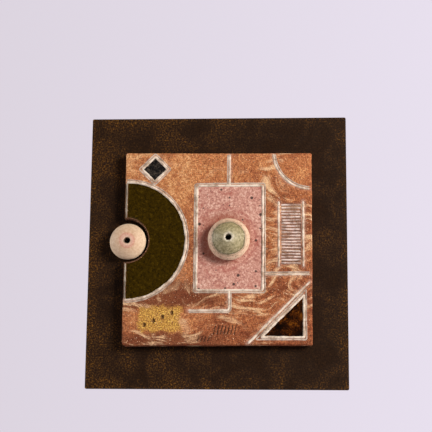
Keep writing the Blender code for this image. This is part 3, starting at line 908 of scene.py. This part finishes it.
def stain_and_shade_value(x, z):
    """Darkening: stained rim of the notch and wall left of the half-disc, darker comb grooves and strokes,
    painted shade in the dents.
    """
    from_notch = notch_distance(x, z)
    rim = 0.9 * smooth_step(NOTCH_RIM + 0.4 * MM - from_notch, 0, 0.6 * MM)
    by_disc = from_notch < HALF_DISC_RADIUS - 2 * MM
    wall = 0.8 * smooth_step(POOL_LEFT + 0.5 * MM - x, 0, 0.5 * MM) * by_disc
    comb = inside_box(x, z, COMB_BOX)
    grooves = 0.5 * smooth_step(comb, 0, 1 * MM)
    # The dents lie to the left of the strokes, and their painted shade is less dark.
    strength = np.where(x < DENTS[-1][0] + 4 * MM, 0.65, 0.95)
    marks = strength * smooth_step(-tool_marks(x, z), 0.05 * MM, 0.35 * MM)
    return np.clip(np.maximum(rim, wall) + grooves + marks, 0, 1)


# %% Cast the clay
CLAY_VALUES = {
    "wiped": wiped,
    "iron": iron_value,
    "smear": smear_value,
    "ochre": ochre_value,
    "stain_and_shade": stain_and_shade_value,
}
clay_body = cast_clay(make_clay())
for value_name, rule in CLAY_VALUES.items():
    add_values(clay_body, value_name, rule)
finish_piece(clay_body, "grogged_stoneware", "art_tile")

# %% [markdown]
# ## Slip lines with Geometry Nodes
#
# Slip is liquid clay. Trailed from a fine nozzle it leaves a rounded ridge whose width and path
# change a little with the hand. That is a section swept along a path, so Geometry Nodes make it:
# they space the path's points evenly, shake them with noise, thin the ridge towards its free ends,
# sweep an oval along it and stand the result up. The combed ribs and the edge line use it too.

# %% Geometry node helpers
def new_tree(name, *sizes, seed="NodeSocketFloat"):
    """A geometry tree with named inputs, its node helper, and what its inputs are given."""
    tree = bpy.data.node_groups.new(name, "GeometryNodeTree")
    kinds = {"Geometry": "NodeSocketGeometry"}
    kinds.update({size: "NodeSocketFloat" for size in sizes})
    kinds.update({"Seed": seed, "Material": "NodeSocketMaterial"})
    for label, kind in kinds.items():
        tree.interface.new_socket(label, in_out="INPUT", socket_type=kind)
    tree.interface.new_socket("Geometry", in_out="OUTPUT", socket_type="NodeSocketGeometry")
    add = partial(add_node, tree)
    return tree, add, add("NodeGroupInput").outputs


def close_tree(add, geometry, material):
    """Ends a tree, because the export drops instances and needs a material."""
    real = add("GeometryNodeRealizeInstances", Geometry=geometry)
    painted = add("GeometryNodeSetMaterial", Geometry=real, Material=material)
    add("NodeGroupOutput", Geometry=painted)


def grow(name, source, tree, **sizes):
    """Runs a tree on an object and returns its result as a plain mesh piece."""
    modifier = source.modifiers.new(tree.name, "NODES")
    modifier.node_group = tree
    for item in tree.interface.items_tree:
        label = item.name.replace(" ", "_")
        if item.in_out == "INPUT" and label in sizes:
            modifier[item.identifier] = sizes[label]
    graph = bpy.context.evaluated_depsgraph_get()
    mesh = bpy.data.meshes.new_from_object(source.evaluated_get(graph), depsgraph=graph)
    mesh.name = name
    source.modifiers.remove(modifier)
    mesh.shade_smooth()
    piece = bpy.data.objects.new(name, mesh)
    bpy.context.scene.collection.objects.link(piece)
    return piece


# %% Slip tree
def make_slip_tree():
    """A rounded ridge along each path, and its place and height given by named inputs."""
    sizes = ("Width", "Height", "Step", "Wander", "Wander Length", "Unevenness", "Face")
    tree, add, given = new_tree("slip trailed along paths", *sizes)
    curve = add("GeometryNodeMeshToCurve", Mesh=given["Geometry"])
    even = add("GeometryNodeResampleCurve", Curve=curve, Length=given["Step"], mode="LENGTH")

    spot = add("GeometryNodeInputPosition")
    waves = add("Math", Value=1.0, Value_001=given["Wander Length"], operation="DIVIDE")
    shake = add(
        "TexNoise", Vector=spot, W=given["Seed"], Scale=waves, noise_dimensions="4D"
    ).outputs["Color"]
    centred = add("VectorMath", Vector=shake, Vector_001=(0.5, 0.5, 0.5), operation="SUBTRACT")
    level = add("VectorMath", Vector=centred, Vector_001=(2.0, 2.0, 0.0), operation="MULTIPLY")
    step = add("VectorMath", Vector=level, Scale=given["Wander"], operation="SCALE")
    shaken = add("GeometryNodeSetPosition", Geometry=even, Offset=step)

    # The ridge swells and thins along its way, and narrows over its last half width.
    swell = add("TexNoise", Vector=spot, W=given["Seed"], Scale=110.0, Detail=4.0, noise_dimensions="4D")
    swell = add("Math", Value=swell, Value_001=0.5, operation="SUBTRACT")
    swell = add("Math", Value=swell, Value_001=given["Unevenness"], Value_002=1.0, operation="MULTIPLY_ADD")
    run = add("GeometryNodeSplineParameter").outputs["Length"]
    total = add("GeometryNodeSplineLength")
    rest = add("Math", Value=total, Value_001=run, operation="SUBTRACT")
    from_end = add("Math", Value=run, Value_001=rest, operation="MINIMUM")
    share = add("Math", Value=from_end, Value_001=given["Width"], operation="DIVIDE")
    share = add("MapRange", Value=share, From_Max=0.5, To_Min=0.06, To_Max=1.0)
    taper = add("Math", Value=share, Value_001=0.5, operation="POWER")
    cyclic = add("GeometryNodeInputSplineCyclic")
    ends = add("Math", Value=taper, Value_001=cyclic, operation="MAXIMUM")
    thickness = add("Math", Value=swell, Value_001=ends, operation="MULTIPLY")

    upright = add("GeometryNodeSetCurveNormal", Curve=shaken, mode="Z_UP")
    circle = add("GeometryNodeCurvePrimitiveCircle", Resolution=12, Radius=1.0)
    half = add("Math", Value=given["Width"], Value_001=0.5, operation="MULTIPLY")
    # On a level path with its normal upwards, the section's X lies across the path and Y stands up.
    oval = add("CombineXYZ", X=half, Y=given["Height"], Z=1.0)
    section = add("GeometryNodeTransform", Geometry=circle, Scale=oval)
    swept = add(
        "GeometryNodeCurveToMesh", Curve=upright, Profile_Curve=section, Scale=thickness, Fill_Caps=True
    )
    out = add("Math", Value=given["Face"], Value_001=-1.0, operation="MULTIPLY")
    place = add("CombineXYZ", Y=out)
    hung = add("GeometryNodeTransform", Geometry=swept, Translation=place, Rotation=(math.pi / 2, 0, 0))
    close_tree(add, hung, given["Material"])
    return tree


# %% Slip along paths
slip_tree = make_slip_tree()


def path_object(name, closed_paths, open_paths):
    """A mesh of edges only, lying on the bench, for the slip tree to follow."""
    points, edges = [], []
    for paths, closed in ((closed_paths, True), (open_paths, False)):
        for path in paths:
            start, count = len(points), len(path)
            points += [(x, z, 0) for x, z in path]
            edges += [(start + i, start + i + 1) for i in range(count - 1)]
            if closed:
                edges.append((start + count - 1, start))
    mesh = bpy.data.meshes.new(name)
    mesh.from_pydata(points, edges, [])
    thing = bpy.data.objects.new(name, mesh)
    bpy.context.scene.collection.objects.link(thing)
    return thing


def trail(name, closed_paths, open_paths, **sizes):
    """Slip along paths, as a finished piece."""
    path = path_object(name + "_path", closed_paths, open_paths)
    piece = grow(name, path, slip_tree, **sizes)
    bpy.data.objects.remove(path)
    finish_piece(piece, "off_white_slip")


# %% Slip
def make_slip(name, light, dark):
    """Raw slip, dry to the touch: off-white where thick, and pink-grey where it is thin."""
    material, add, shader, place = new_material(name)
    # Thin places are 5 to 10 mm long. The grain is fine clay, under a millimetre.
    thin = add("TexNoise", Vector=place, Scale=130.0, Detail=5.0, Roughness=0.72)
    grain = add("TexNoise", Vector=place, Scale=1500.0, Detail=2.0)
    tone = add("ValToRGB", ((0.40, dark), (0.56, light)), Fac=thin)
    bump = add("Bump", Height=grain, Strength=0.5, Distance=0.12 * MM)
    feed(shader, Base_Color=tone, Roughness=0.74, Normal=bump, IOR=1.5)
    return material


off_white = make_slip("off-white slip, trailed and wiped", "#EBDDCE", "#AE9580")
thin_slip = make_slip("grey-beige slip, wiped thin", "#D2C2B4", "#8E7C6E")
combed = make_slip("pinkish slip, combed", "#EAD8D2", "#A08274")
OUTLINE_SLIP = {
    "Width": OUTLINE_WIDTH,
    "Height": OUTLINE_HEIGHT - 0.2 * MM,
    "Step": 0.6 * MM,
    "Wander": 0.55 * MM,
    "Wander_Length": 16 * MM,
    "Unevenness": 1.7,
    "Seed": 3.0,
    "Face": TILE_FACE,
    "Material": off_white,
}
LINE_SLIP = {**OUTLINE_SLIP, "Width": LINE_WIDTH, "Height": LINE_HEIGHT - 0.15 * MM, "Seed": 8.0}
trail("slip_outlines", CLOSED_OUTLINES, [HALF_DISC_LINE], **OUTLINE_SLIP)
trail("slip_lines", [], FREE_LINES, **LINE_SLIP)

# The nozzle's wall left a second, lower line beside each one, with a groove between.
SECOND_STEP = 2.3 * MM
SECOND_SLIP = {**LINE_SLIP, "Width": 1.3 * MM, "Height": 0.3 * MM, "Seed": 4.0, "Material": thin_slip}
second_closed = [field_outline(-SECOND_STEP), triangle_outline(-SECOND_STEP), lozenge_outline(-SECOND_STEP)]
second_open = [half_disc_arc(HALF_DISC_RADIUS + SECOND_STEP, HALF_DISC_LINE_LEFT)]
second_open += [beside(line, 2.0 * MM) for line in FREE_LINES[:4]]
trail("slip_second_lines", second_closed, second_open, **SECOND_SLIP)


# %% Edge line
def edge_wall_paths():
    """Two short runs down the narrow wall between the half-disc and the tile's left edge."""
    x = TILE_LEFT + 1.9 * MM
    top = math.sqrt(HALF_DISC_RADIUS**2 - (x - NOTCH[0]) ** 2) - 1 * MM
    rim = math.sqrt(NOTCH_RADIUS**2 - (x - NOTCH[0]) ** 2) + 1.2 * MM
    return [
        np.array([(x, NOTCH[1] + top), (x, NOTCH[1] + rim)]),
        np.array([(x, NOTCH[1] - rim), (x, NOTCH[1] - top)]),
    ]


grey_slip = make_slip("grey slip, rubbed down to the clay", "#A39B8E", "#6E665A")
WALL_SLIP = {
    **LINE_SLIP,
    "Width": 1.5 * MM,
    "Height": 0.45 * MM,
    "Wander": 0.15 * MM,
    "Material": grey_slip,
}
trail("slip_edge_line", [], edge_wall_paths(), **WALL_SLIP)


# %% Combed ribs
def comb_paths():
    """Ribs that the comb left standing, each a little askew."""
    count = int((COMB_TOP - COMB_FOOT) / COMB_PITCH) + 1
    askew = np.random.default_rng(61).uniform(-0.35, 0.35, (count, 4)) * MM
    foot = (COMB_FOOT + COMB_TOP - (count - 1) * COMB_PITCH) / 2
    ribs = []
    for i, (a, b, c, d) in enumerate(askew):
        z = foot + i * COMB_PITCH
        ribs.append(np.array([(COMB_LEFT + 0.3 * MM + a, z + b), (COMB_RIGHT - 0.3 * MM + c, z + d)]))
    return ribs


COMB_SLIP = {
    **OUTLINE_SLIP,
    "Width": COMB_PITCH - 1.5 * MM,
    "Height": COMB_DEPTH + 0.15 * MM,
    "Wander": 0.4 * MM,
    "Wander_Length": 7 * MM,
    "Unevenness": 1.6,
    "Seed": 12.0,
    "Face": TILE_FACE - COMB_DEPTH,
    "Material": combed,
}
trail("comb_ribs", [], comb_paths(), **COMB_SLIP)

# %% [markdown]
# ## Grog grains with Geometry Nodes
#
# Grog shows as hard grains that stand out of the wiped face. There are thousands, scattered with no
# order, so Geometry Nodes scatter them: points at random on the bare clay, a rough little ball of
# twenty faces on each, turned and sized at random, and a random tone stored for the material.

# %% Grog
def make_scatter_tree():
    """Rough grains at random points, sunk a little, each with a tone of its own."""
    sizes = ("Density", "Smallest", "Largest", "Sink")
    tree, add, given = new_tree("grains scattered on bare clay", *sizes, seed="NodeSocketInt")
    bare = add("GeometryNodeInputNamedAttribute", data_type="FLOAT", Name="bare")
    density = add("Math", Value=bare, Value_001=given["Density"], operation="MULTIPLY")
    faces = {"Mesh": given["Geometry"], "Density": density, "Seed": given["Seed"]}
    spread = add("GeometryNodeDistributePointsOnFaces", **faces).outputs
    down = add("Math", Value=given["Sink"], Value_001=-1.0, operation="MULTIPLY")
    drop = add("VectorMath", Vector=spread["Normal"], Scale=down, operation="SCALE")
    sunk = add("GeometryNodeSetPosition", Geometry=spread["Points"], Offset=drop)
    ball = add("GeometryNodeMeshIcoSphere", Radius=1.0, Subdivisions=1)
    chance = add("FunctionNodeRandomValue", Min=0.0, Max=1.0, Seed=given["Seed"])
    rare = add("Math", Value=chance, Value_001=2.5, operation="POWER")
    size = add("MapRange", Value=rare, To_Min=given["Smallest"], To_Max=given["Largest"])
    shape = add("VectorMath", Vector=(1.0, 0.7, 0.85), Scale=size, operation="SCALE")
    turn = add(
        "FunctionNodeRandomValue", data_type="FLOAT_VECTOR", Min=(-3.1, -3.1, -3.1), Max=(3.1, 3.1, 3.1)
    )
    grains = add("GeometryNodeInstanceOnPoints", Points=sunk, Instance=ball, Rotation=turn, Scale=shape)
    any_tone = add("FunctionNodeRandomValue", Min=0.0, Max=1.0, Seed=77)
    tone = {"Geometry": grains, "Name": "tone", "Value": any_tone, "domain": "INSTANCE"}
    toned = add("GeometryNodeStoreNamedAttribute", **tone)
    close_tree(add, toned, given["Material"])
    return tree


def make_grog():
    """Crushed fired clay: mostly buff, some almost white, and some iron-dark."""
    material, add, shader, _ = new_material("grog, crushed fired clay")
    tone = add("Attribute", attribute_name="tone").outputs["Fac"]
    tones = ((0.0, "#A4683E"), (0.35, "#D9A878"), (0.72, "#EBCBA2"), (0.80, "#F4E2C4"), (0.84, "#54301E"))
    mixed = add("ValToRGB", tones, Fac=tone)
    feed(shader, Base_Color=mixed, Roughness=0.55, IOR=1.52)
    return material


def bare_value(x, z):
    """1 where clay lies bare on the face, 0 in the recesses, on the rim and under the slip."""
    face = inside_box(x, z, TILE_BOX) > 1.0 * MM
    clear = slip_distance(x, z) > SLIP_CLEAR
    return (face & clear & (recess_depth(x, z) < 0.02 * MM)).astype(float)


add_values(clay_body, "bare", bare_value)
grog = grow(
    "clay_grog",
    clay_body,
    make_scatter_tree(),
    Density=190000.0,
    Smallest=0.16 * MM,
    Largest=0.55 * MM,
    Sink=0.10 * MM,
    Seed=5,
    Material=make_grog(),
)
finish_piece(grog, "grogged_stoneware")

# %% [markdown]
# ## Glazes
#
# Glaze is glass. It melts, levels out in its recess and creeps up the line around it, so each pool
# is a shallow dish with a raised rim. That rim catches the light. Each one is a closed piece of
# its own that fills its recess. Thick glaze looks nearly black and mirrors the room. The pink one
# is a thin satin wash over pale slip, with specks where iron grains in the clay melted into it.

# %% Glaze pools
def pour(name, outline, level, creep, floor, material, slot):
    """A pool of glaze with its surface at `level` under the face and its rim raised by `creep`."""
    path = spaced(outline, 0.8 * MM, True)
    sides = left_sides(path)

    def top(x, z):
        aside = nearest(np.column_stack((x, z)), path)
        waves = 0.05 * MM * soft_noise(x, z, 13 * MM, 71) + 0.015 * MM * soft_noise(x, z, 3 * MM, 72)
        return TILE_FACE - level + creep * np.exp(-aside / (0.9 * MM)) + waves

    inner = [path + sides * step * MM for step in (0.25, 0.6, 1.1)]
    close = thin_out(np.vstack(inner), 0.2 * MM)
    even = honeycomb(path, 1.3 * MM, 1.4 * MM)
    rows = [(0.0, TILE_FACE - floor)]
    piece = cast_slab(name, path, np.vstack((close, even)), top, rows, material)
    finish_piece(piece, slot)


# %% Thick glazes
def make_glaze(name, stops, scale, gloss):
    """Thick glass: depth and colour from mottling under a smooth, slightly rippled surface."""
    material, add, shader, place = new_material(name)
    clouds = add("TexNoise", Vector=place, Scale=scale, Detail=5.0, Roughness=0.7)
    flecks = add("TexNoise", Vector=place, Scale=700.0, Detail=2.0)
    both = add("Math", Value=flecks, Value_001=0.5, Value_002=clouds, operation="MULTIPLY_ADD")
    tone = add("ValToRGB", stops, Fac=both)
    ripple = add("TexNoise", Vector=place, Scale=180.0, Detail=2.0)
    bump = add("Bump", Height=ripple, Strength=0.25, Distance=0.05 * MM)
    feed(shader, Base_Color=tone, Roughness=gloss, Normal=bump, IOR=1.52)
    return material, add, shader, place


olive_stops = ((0.55, "#221802"), (0.70, "#302302"), (0.84, "#3A2B04"), (0.96, "#52400C"))
olive = make_glaze("olive iron glaze, thick and glossy", olive_stops, 330.0, 0.13)[0]
black_stops = ((0.55, "#0F1012"), (0.72, "#201E1D"), (0.84, "#3A342F"), (0.94, "#5A5048"))
black = make_glaze("bluish black glaze, glossy", black_stops, 260.0, 0.14)[0]
amber_stops = ((0.58, "#0B0604"), (0.70, "#220E04"), (0.80, "#3F1D07"), (0.92, "#70400F"))
amber = make_glaze("near-black amber glaze, glossy", amber_stops, 90.0, 0.14)[0]

# A pool's edge lies this far inside the middle of its line, and its foot this far under the floor
# of its recess.
POOL_REACH = 0.4 * MM
UNDERLAP = 0.1 * MM
POOLS = (
    ("olive_glaze", half_disc_outline(POOL_REACH, 0.15 * MM), 0.40 * MM, 0.32 * MM, olive),
    ("amber_glaze", triangle_outline(POOL_REACH), 0.35 * MM, 0.4 * MM, amber),
    ("black_glaze", lozenge_outline(POOL_REACH), 0.35 * MM, 0.4 * MM, black),
)
for slot, outline, level, creep, glaze in POOLS:
    pour(slot + "_pool", outline, level, creep, POOL_DEPTH + UNDERLAP, glaze, slot)

# %% Pink wash
def add_specks(add, place, base, scale, rarity, reach, code):
    """Round specks of iron in a share of 1 - rarity of the cells, each of 1 / scale metres."""
    cells = add("TexVoronoi", Vector=place, Scale=scale).outputs
    pick = add("SeparateColor", Color=cells["Color"]).outputs["Red"]
    size = add("MapRange", Value=pick, From_Min=rarity, To_Max=reach)
    gap = add("Math", Value=size, Value_001=cells["Distance"], operation="SUBTRACT")
    speck = add("MapRange", Value=gap, From_Max=0.07, To_Max=0.9)
    return add("Mix", Factor=speck, A=base, B=colour(code), data_type="RGBA")


def make_pink():
    """Dusty pink with blushes, red-brown beside the cone partly as painted shadow, a red ring round it, and
    iron specks.
    """
    stops = ((0.56, "#9C6258"), (0.69, "#C0867A"), (0.80, "#D0A090"), (0.92, "#E8C8BA"))
    material, add, shader, place = make_glaze("dusty pink glaze wash over slip, satin", stops, 430.0, 0.45)
    base = shader.inputs["Base Color"].links[0].from_socket
    # Blushes are about 15 mm across.
    blush = add("TexNoise", Vector=place, Scale=60.0, Detail=6.0, Roughness=0.7, Distortion=0.5)
    blushed = add("MapRange", Value=blush, From_Min=0.52, From_Max=0.68, To_Max=0.8)
    warm = add("Mix", Factor=blushed, A=base, B=colour("#A9584A"), data_type="RGBA")
    # Beside the cone, most of all on its left, the wash turns red-brown: partly a browner glaze there, partly
    # the cone's shadow painted in.
    burnt_and_shaded_at = (CENTRE_CONE[0] - 5 * MM, CENTRE_CONE[1] + 2 * MM)
    from_cone = around(add, place, burnt_and_shaded_at)
    away = add("Math", Value=blush, Value_001=-0.02, Value_002=from_cone, operation="MULTIPLY_ADD")
    burnt_and_shaded = add("MapRange", Value=away, From_Min=0.020, From_Max=0.012, To_Max=0.7)
    burnt_and_shaded = add("Mix", Factor=burnt_and_shaded, A=warm, B=colour("#964E38"), data_type="RGBA")
    # A thin red ring lies just outside it, where the wash crept back from the cone.
    ring = add("Math", Value=away, Value_001=0.0215, operation="SUBTRACT")
    ring = add("Math", Value=ring, operation="ABSOLUTE")
    ring = add("MapRange", Value=ring, From_Max=0.0018, To_Min=0.55, To_Max=0.0)
    ringed = add("Mix", Factor=ring, A=burnt_and_shaded, B=colour("#A24A3E"), data_type="RGBA")
    dusty = add_specks(add, place, ringed, 620.0, 0.90, 0.42, "#5A2E26")
    feed(shader, Base_Color=add_specks(add, place, dusty, 230.0, 0.74, 0.44, "#2A1614"))
    return material


pink = make_pink()
wash_floor = WASH_DEPTH + UNDERLAP
pour("pink_glaze_wash", field_outline(POOL_REACH), 0.16 * MM, 0.14 * MM, wash_floor, pink, "pink_glaze")

# %% [markdown]
# ## The two cones
#
# Each cone was thrown on a wheel or turned, bored at the tip and dipped in slip. Turning leaves
# faint rings, and a soft wobble that a lathe would not leave. A profile that is spun round an axis
# gives such a form. The CAD cone has nearly the same profile, with a bore 0.15 mm narrower in
# radius, fewer steps and no rings, so each new cone replaces its node.

# %% Turned cones
CONE_SIDES = 144
RING_PITCH, RING_RELIEF = 1.35 * MM, 0.05 * MM
OUT_OF_ROUND = 0.004
BORE_WOBBLE, LIP_WEAR = 0.22 * MM, 0.15 * MM


def cone_profile(radius, height, fullness):
    """Radius, height and ring strength from the bore's foot round the outside and down the bore."""
    bore, lip_round, rim_height, narrowing = 3.15 * MM, 0.6 * MM, 7 * MM, 1.6 * MM
    lip = bore + lip_round + 1 * MM
    turns = np.radians(np.linspace(6, 90, 60))
    across = lip + (radius - lip) * np.maximum(np.cos(turns), 0) ** (2 / fullness)
    up = rim_height + (height - rim_height) * np.sin(turns) ** (2 / fullness)
    foot = [(bore, 0), (radius * 0.6, 0), (radius - narrowing - 0.4 * MM, 0)]
    side = [(radius - narrowing * (1 - s), rim_height * s) for s in np.linspace(0.04, 0.86, 8)]
    rim = bend(side[-1], (radius, rim_height), (across[0], up[0]), 7)[1:-1]
    flank = np.column_stack((across, up))
    lips = [
        (bore + lip_round * (1 - math.sin(a)), height - lip_round * (1 - math.cos(a)))
        for a in np.radians((0, 22, 45, 68, 90))
    ]
    down = [(bore, h) for h in np.linspace(height - 1.6 * MM, 1 * MM, 10)]
    plain = len(foot) + len(side) + len(rim)
    rings = [0] * plain + [1] * len(flank) + [0] * (len(lips) + len(down))
    return np.column_stack((np.vstack((foot, side, rim, flank, lips, down)), rings))


def turn_cone(name, centre, radius, seat, tip, fullness, material, slot, seed):
    """Spins the profile round an axis out of the wall, with rings and a wobble."""
    radii, heights, rings = cone_profile(radius, tip - seat, fullness).T
    angles = np.linspace(0, 2 * math.pi, CONE_SIDES, endpoint=False)
    along = np.concatenate(([0], np.cumsum(np.hypot(np.diff(radii), np.diff(heights)))))
    turn, way = np.meshgrid(angles, along)
    ring_wave = np.sin(2 * math.pi * way / RING_PITCH + 0.6 * np.sin(turn))
    strength = 0.6 + 0.4 * soft_noise(turn, way / MM, 2.5, seed)
    r = radii[:, None] * (1 + OUT_OF_ROUND * np.cos(2 * turn + seed))
    r = r + rings[:, None] * ring_wave * strength * RING_RELIEF
    bore_share = smooth_step(6 * MM - radii, 0, 3 * MM)[:, None]
    r = r + bore_share * BORE_WOBBLE * soft_noise(3 * np.cos(turn), 3 * np.sin(turn), 1.6, seed + 1)
    lip_lift = soft_noise(2 * np.cos(turn), 2 * np.sin(turn), 1.3, seed + 2)
    h = heights[:, None] + bore_share * (heights[:, None] > 8 * MM) * LIP_WEAR * (lip_lift - 1)
    x, z = centre[0] + r * np.cos(turn), centre[1] + r * np.sin(turn)
    points = np.column_stack((x.ravel(), z.ravel(), (seat + h).ravel()))
    count = len(radii)
    faces = []
    for i in range(count):
        below, above = i * CONE_SIDES, (i + 1) % count * CONE_SIDES
        for j in range(CONE_SIDES):
            k = (j + 1) % CONE_SIDES
            faces.append((below + j, below + k, above + k, above + j))
    cone = make_piece(name, points, faces, material)
    finish_piece(cone, slot, name.replace("_turned", ""))


# %% Cone glazes
def make_cone_glaze(name, centre, ramp, light, dark, shown, gloss):
    """Zones of slip and glaze that the wheel laid in rings, with paler and darker mottling, and painted shade
    in the bore.
    """
    material, add, shader, place = new_material(name)
    radius = around(add, place, centre)
    # Blotches of 6 mm make the zones' edges ragged, and mottling changes over 2 to 3 mm.
    blotch = add("TexNoise", Vector=place, Scale=170.0, Detail=4.0, Roughness=0.65)
    edge = add("Math", Value=blotch, Value_001=0.003, Value_002=radius, operation="MULTIPLY_ADD")
    share = add("MapRange", Value=edge, From_Min=0.0015, From_Max=0.0235)
    zones = add("ValToRGB", ramp, Fac=share)
    mottle = add("TexNoise", Vector=place, Scale=420.0, Detail=5.0, Roughness=0.8)
    pale = add("MapRange", Value=mottle, From_Min=0.5, From_Max=0.66, To_Max=shown)
    tinted = add("Mix", Factor=pale, A=zones, B=colour(light), data_type="RGBA")
    deep = add("MapRange", Value=mottle, From_Min=0.5, From_Max=0.36, To_Max=shown)
    shaded = add("Mix", Factor=deep, A=tinted, B=colour(dark), data_type="RGBA")
    fine = add("Bump", Height=mottle, Strength=0.35, Distance=0.12 * MM)
    feed(shader, Base_Color=shaded, Roughness=gloss, Normal=fine, IOR=1.5)
    return material


# The first, near-black stop is painted shade: it darkens the wall of the bore.
CREAM_RINGS = (
    (0.13, "#1A0D0A"),
    (0.16, "#D8B8A0"),
    (0.20, "#DDB6A4"),
    (0.34, "#CF9482"),
    (0.38, "#D4B294"),
    (0.80, "#D8BFA2"),
)
# Here too the first, near-black stop is painted shade on the wall of the bore.
GREEN_RINGS = (
    (0.13, "#12100C"),
    (0.155, "#DED6C4"),
    (0.23, "#C6BEA6"),
    (0.27, "#A49A78"),
    (0.42, "#9C926C"),
    (0.68, "#938860"),
    (0.745, "#5C5238"),
    (0.765, "#D2B498"),
    (0.80, "#B4937A"),
    (0.82, "#DEBCA2"),
    (0.95, "#DEBCA2"),
)

# %% Make the cones
cream_tones = (CREAM_RINGS, "#EAD8BE", "#B98F70", 0.5)
cream = make_cone_glaze("cream slip over stoneware, matt", EDGE_CONE, *cream_tones, 0.6)
green_tones = (GREEN_RINGS, "#CCC4AA", "#4A4A2C", 0.65)
green = make_cone_glaze("grey-green glaze over cream slip, satin", CENTRE_CONE, *green_tones, 0.55)
edge_form = (EDGE_CONE, EDGE_CONE_RADIUS, EDGE_CONE_SEAT, EDGE_CONE_TIP, 1.6)
centre_form = (CENTRE_CONE, CENTRE_CONE_RADIUS, CENTRE_CONE_SEAT, CENTRE_CONE_TIP, 1.2)
turn_cone("edge_cone_turned", *edge_form, cream, "cream_slip", 81)
turn_cone("centre_cone_turned", *centre_form, green, "grey_green_glaze", 91)
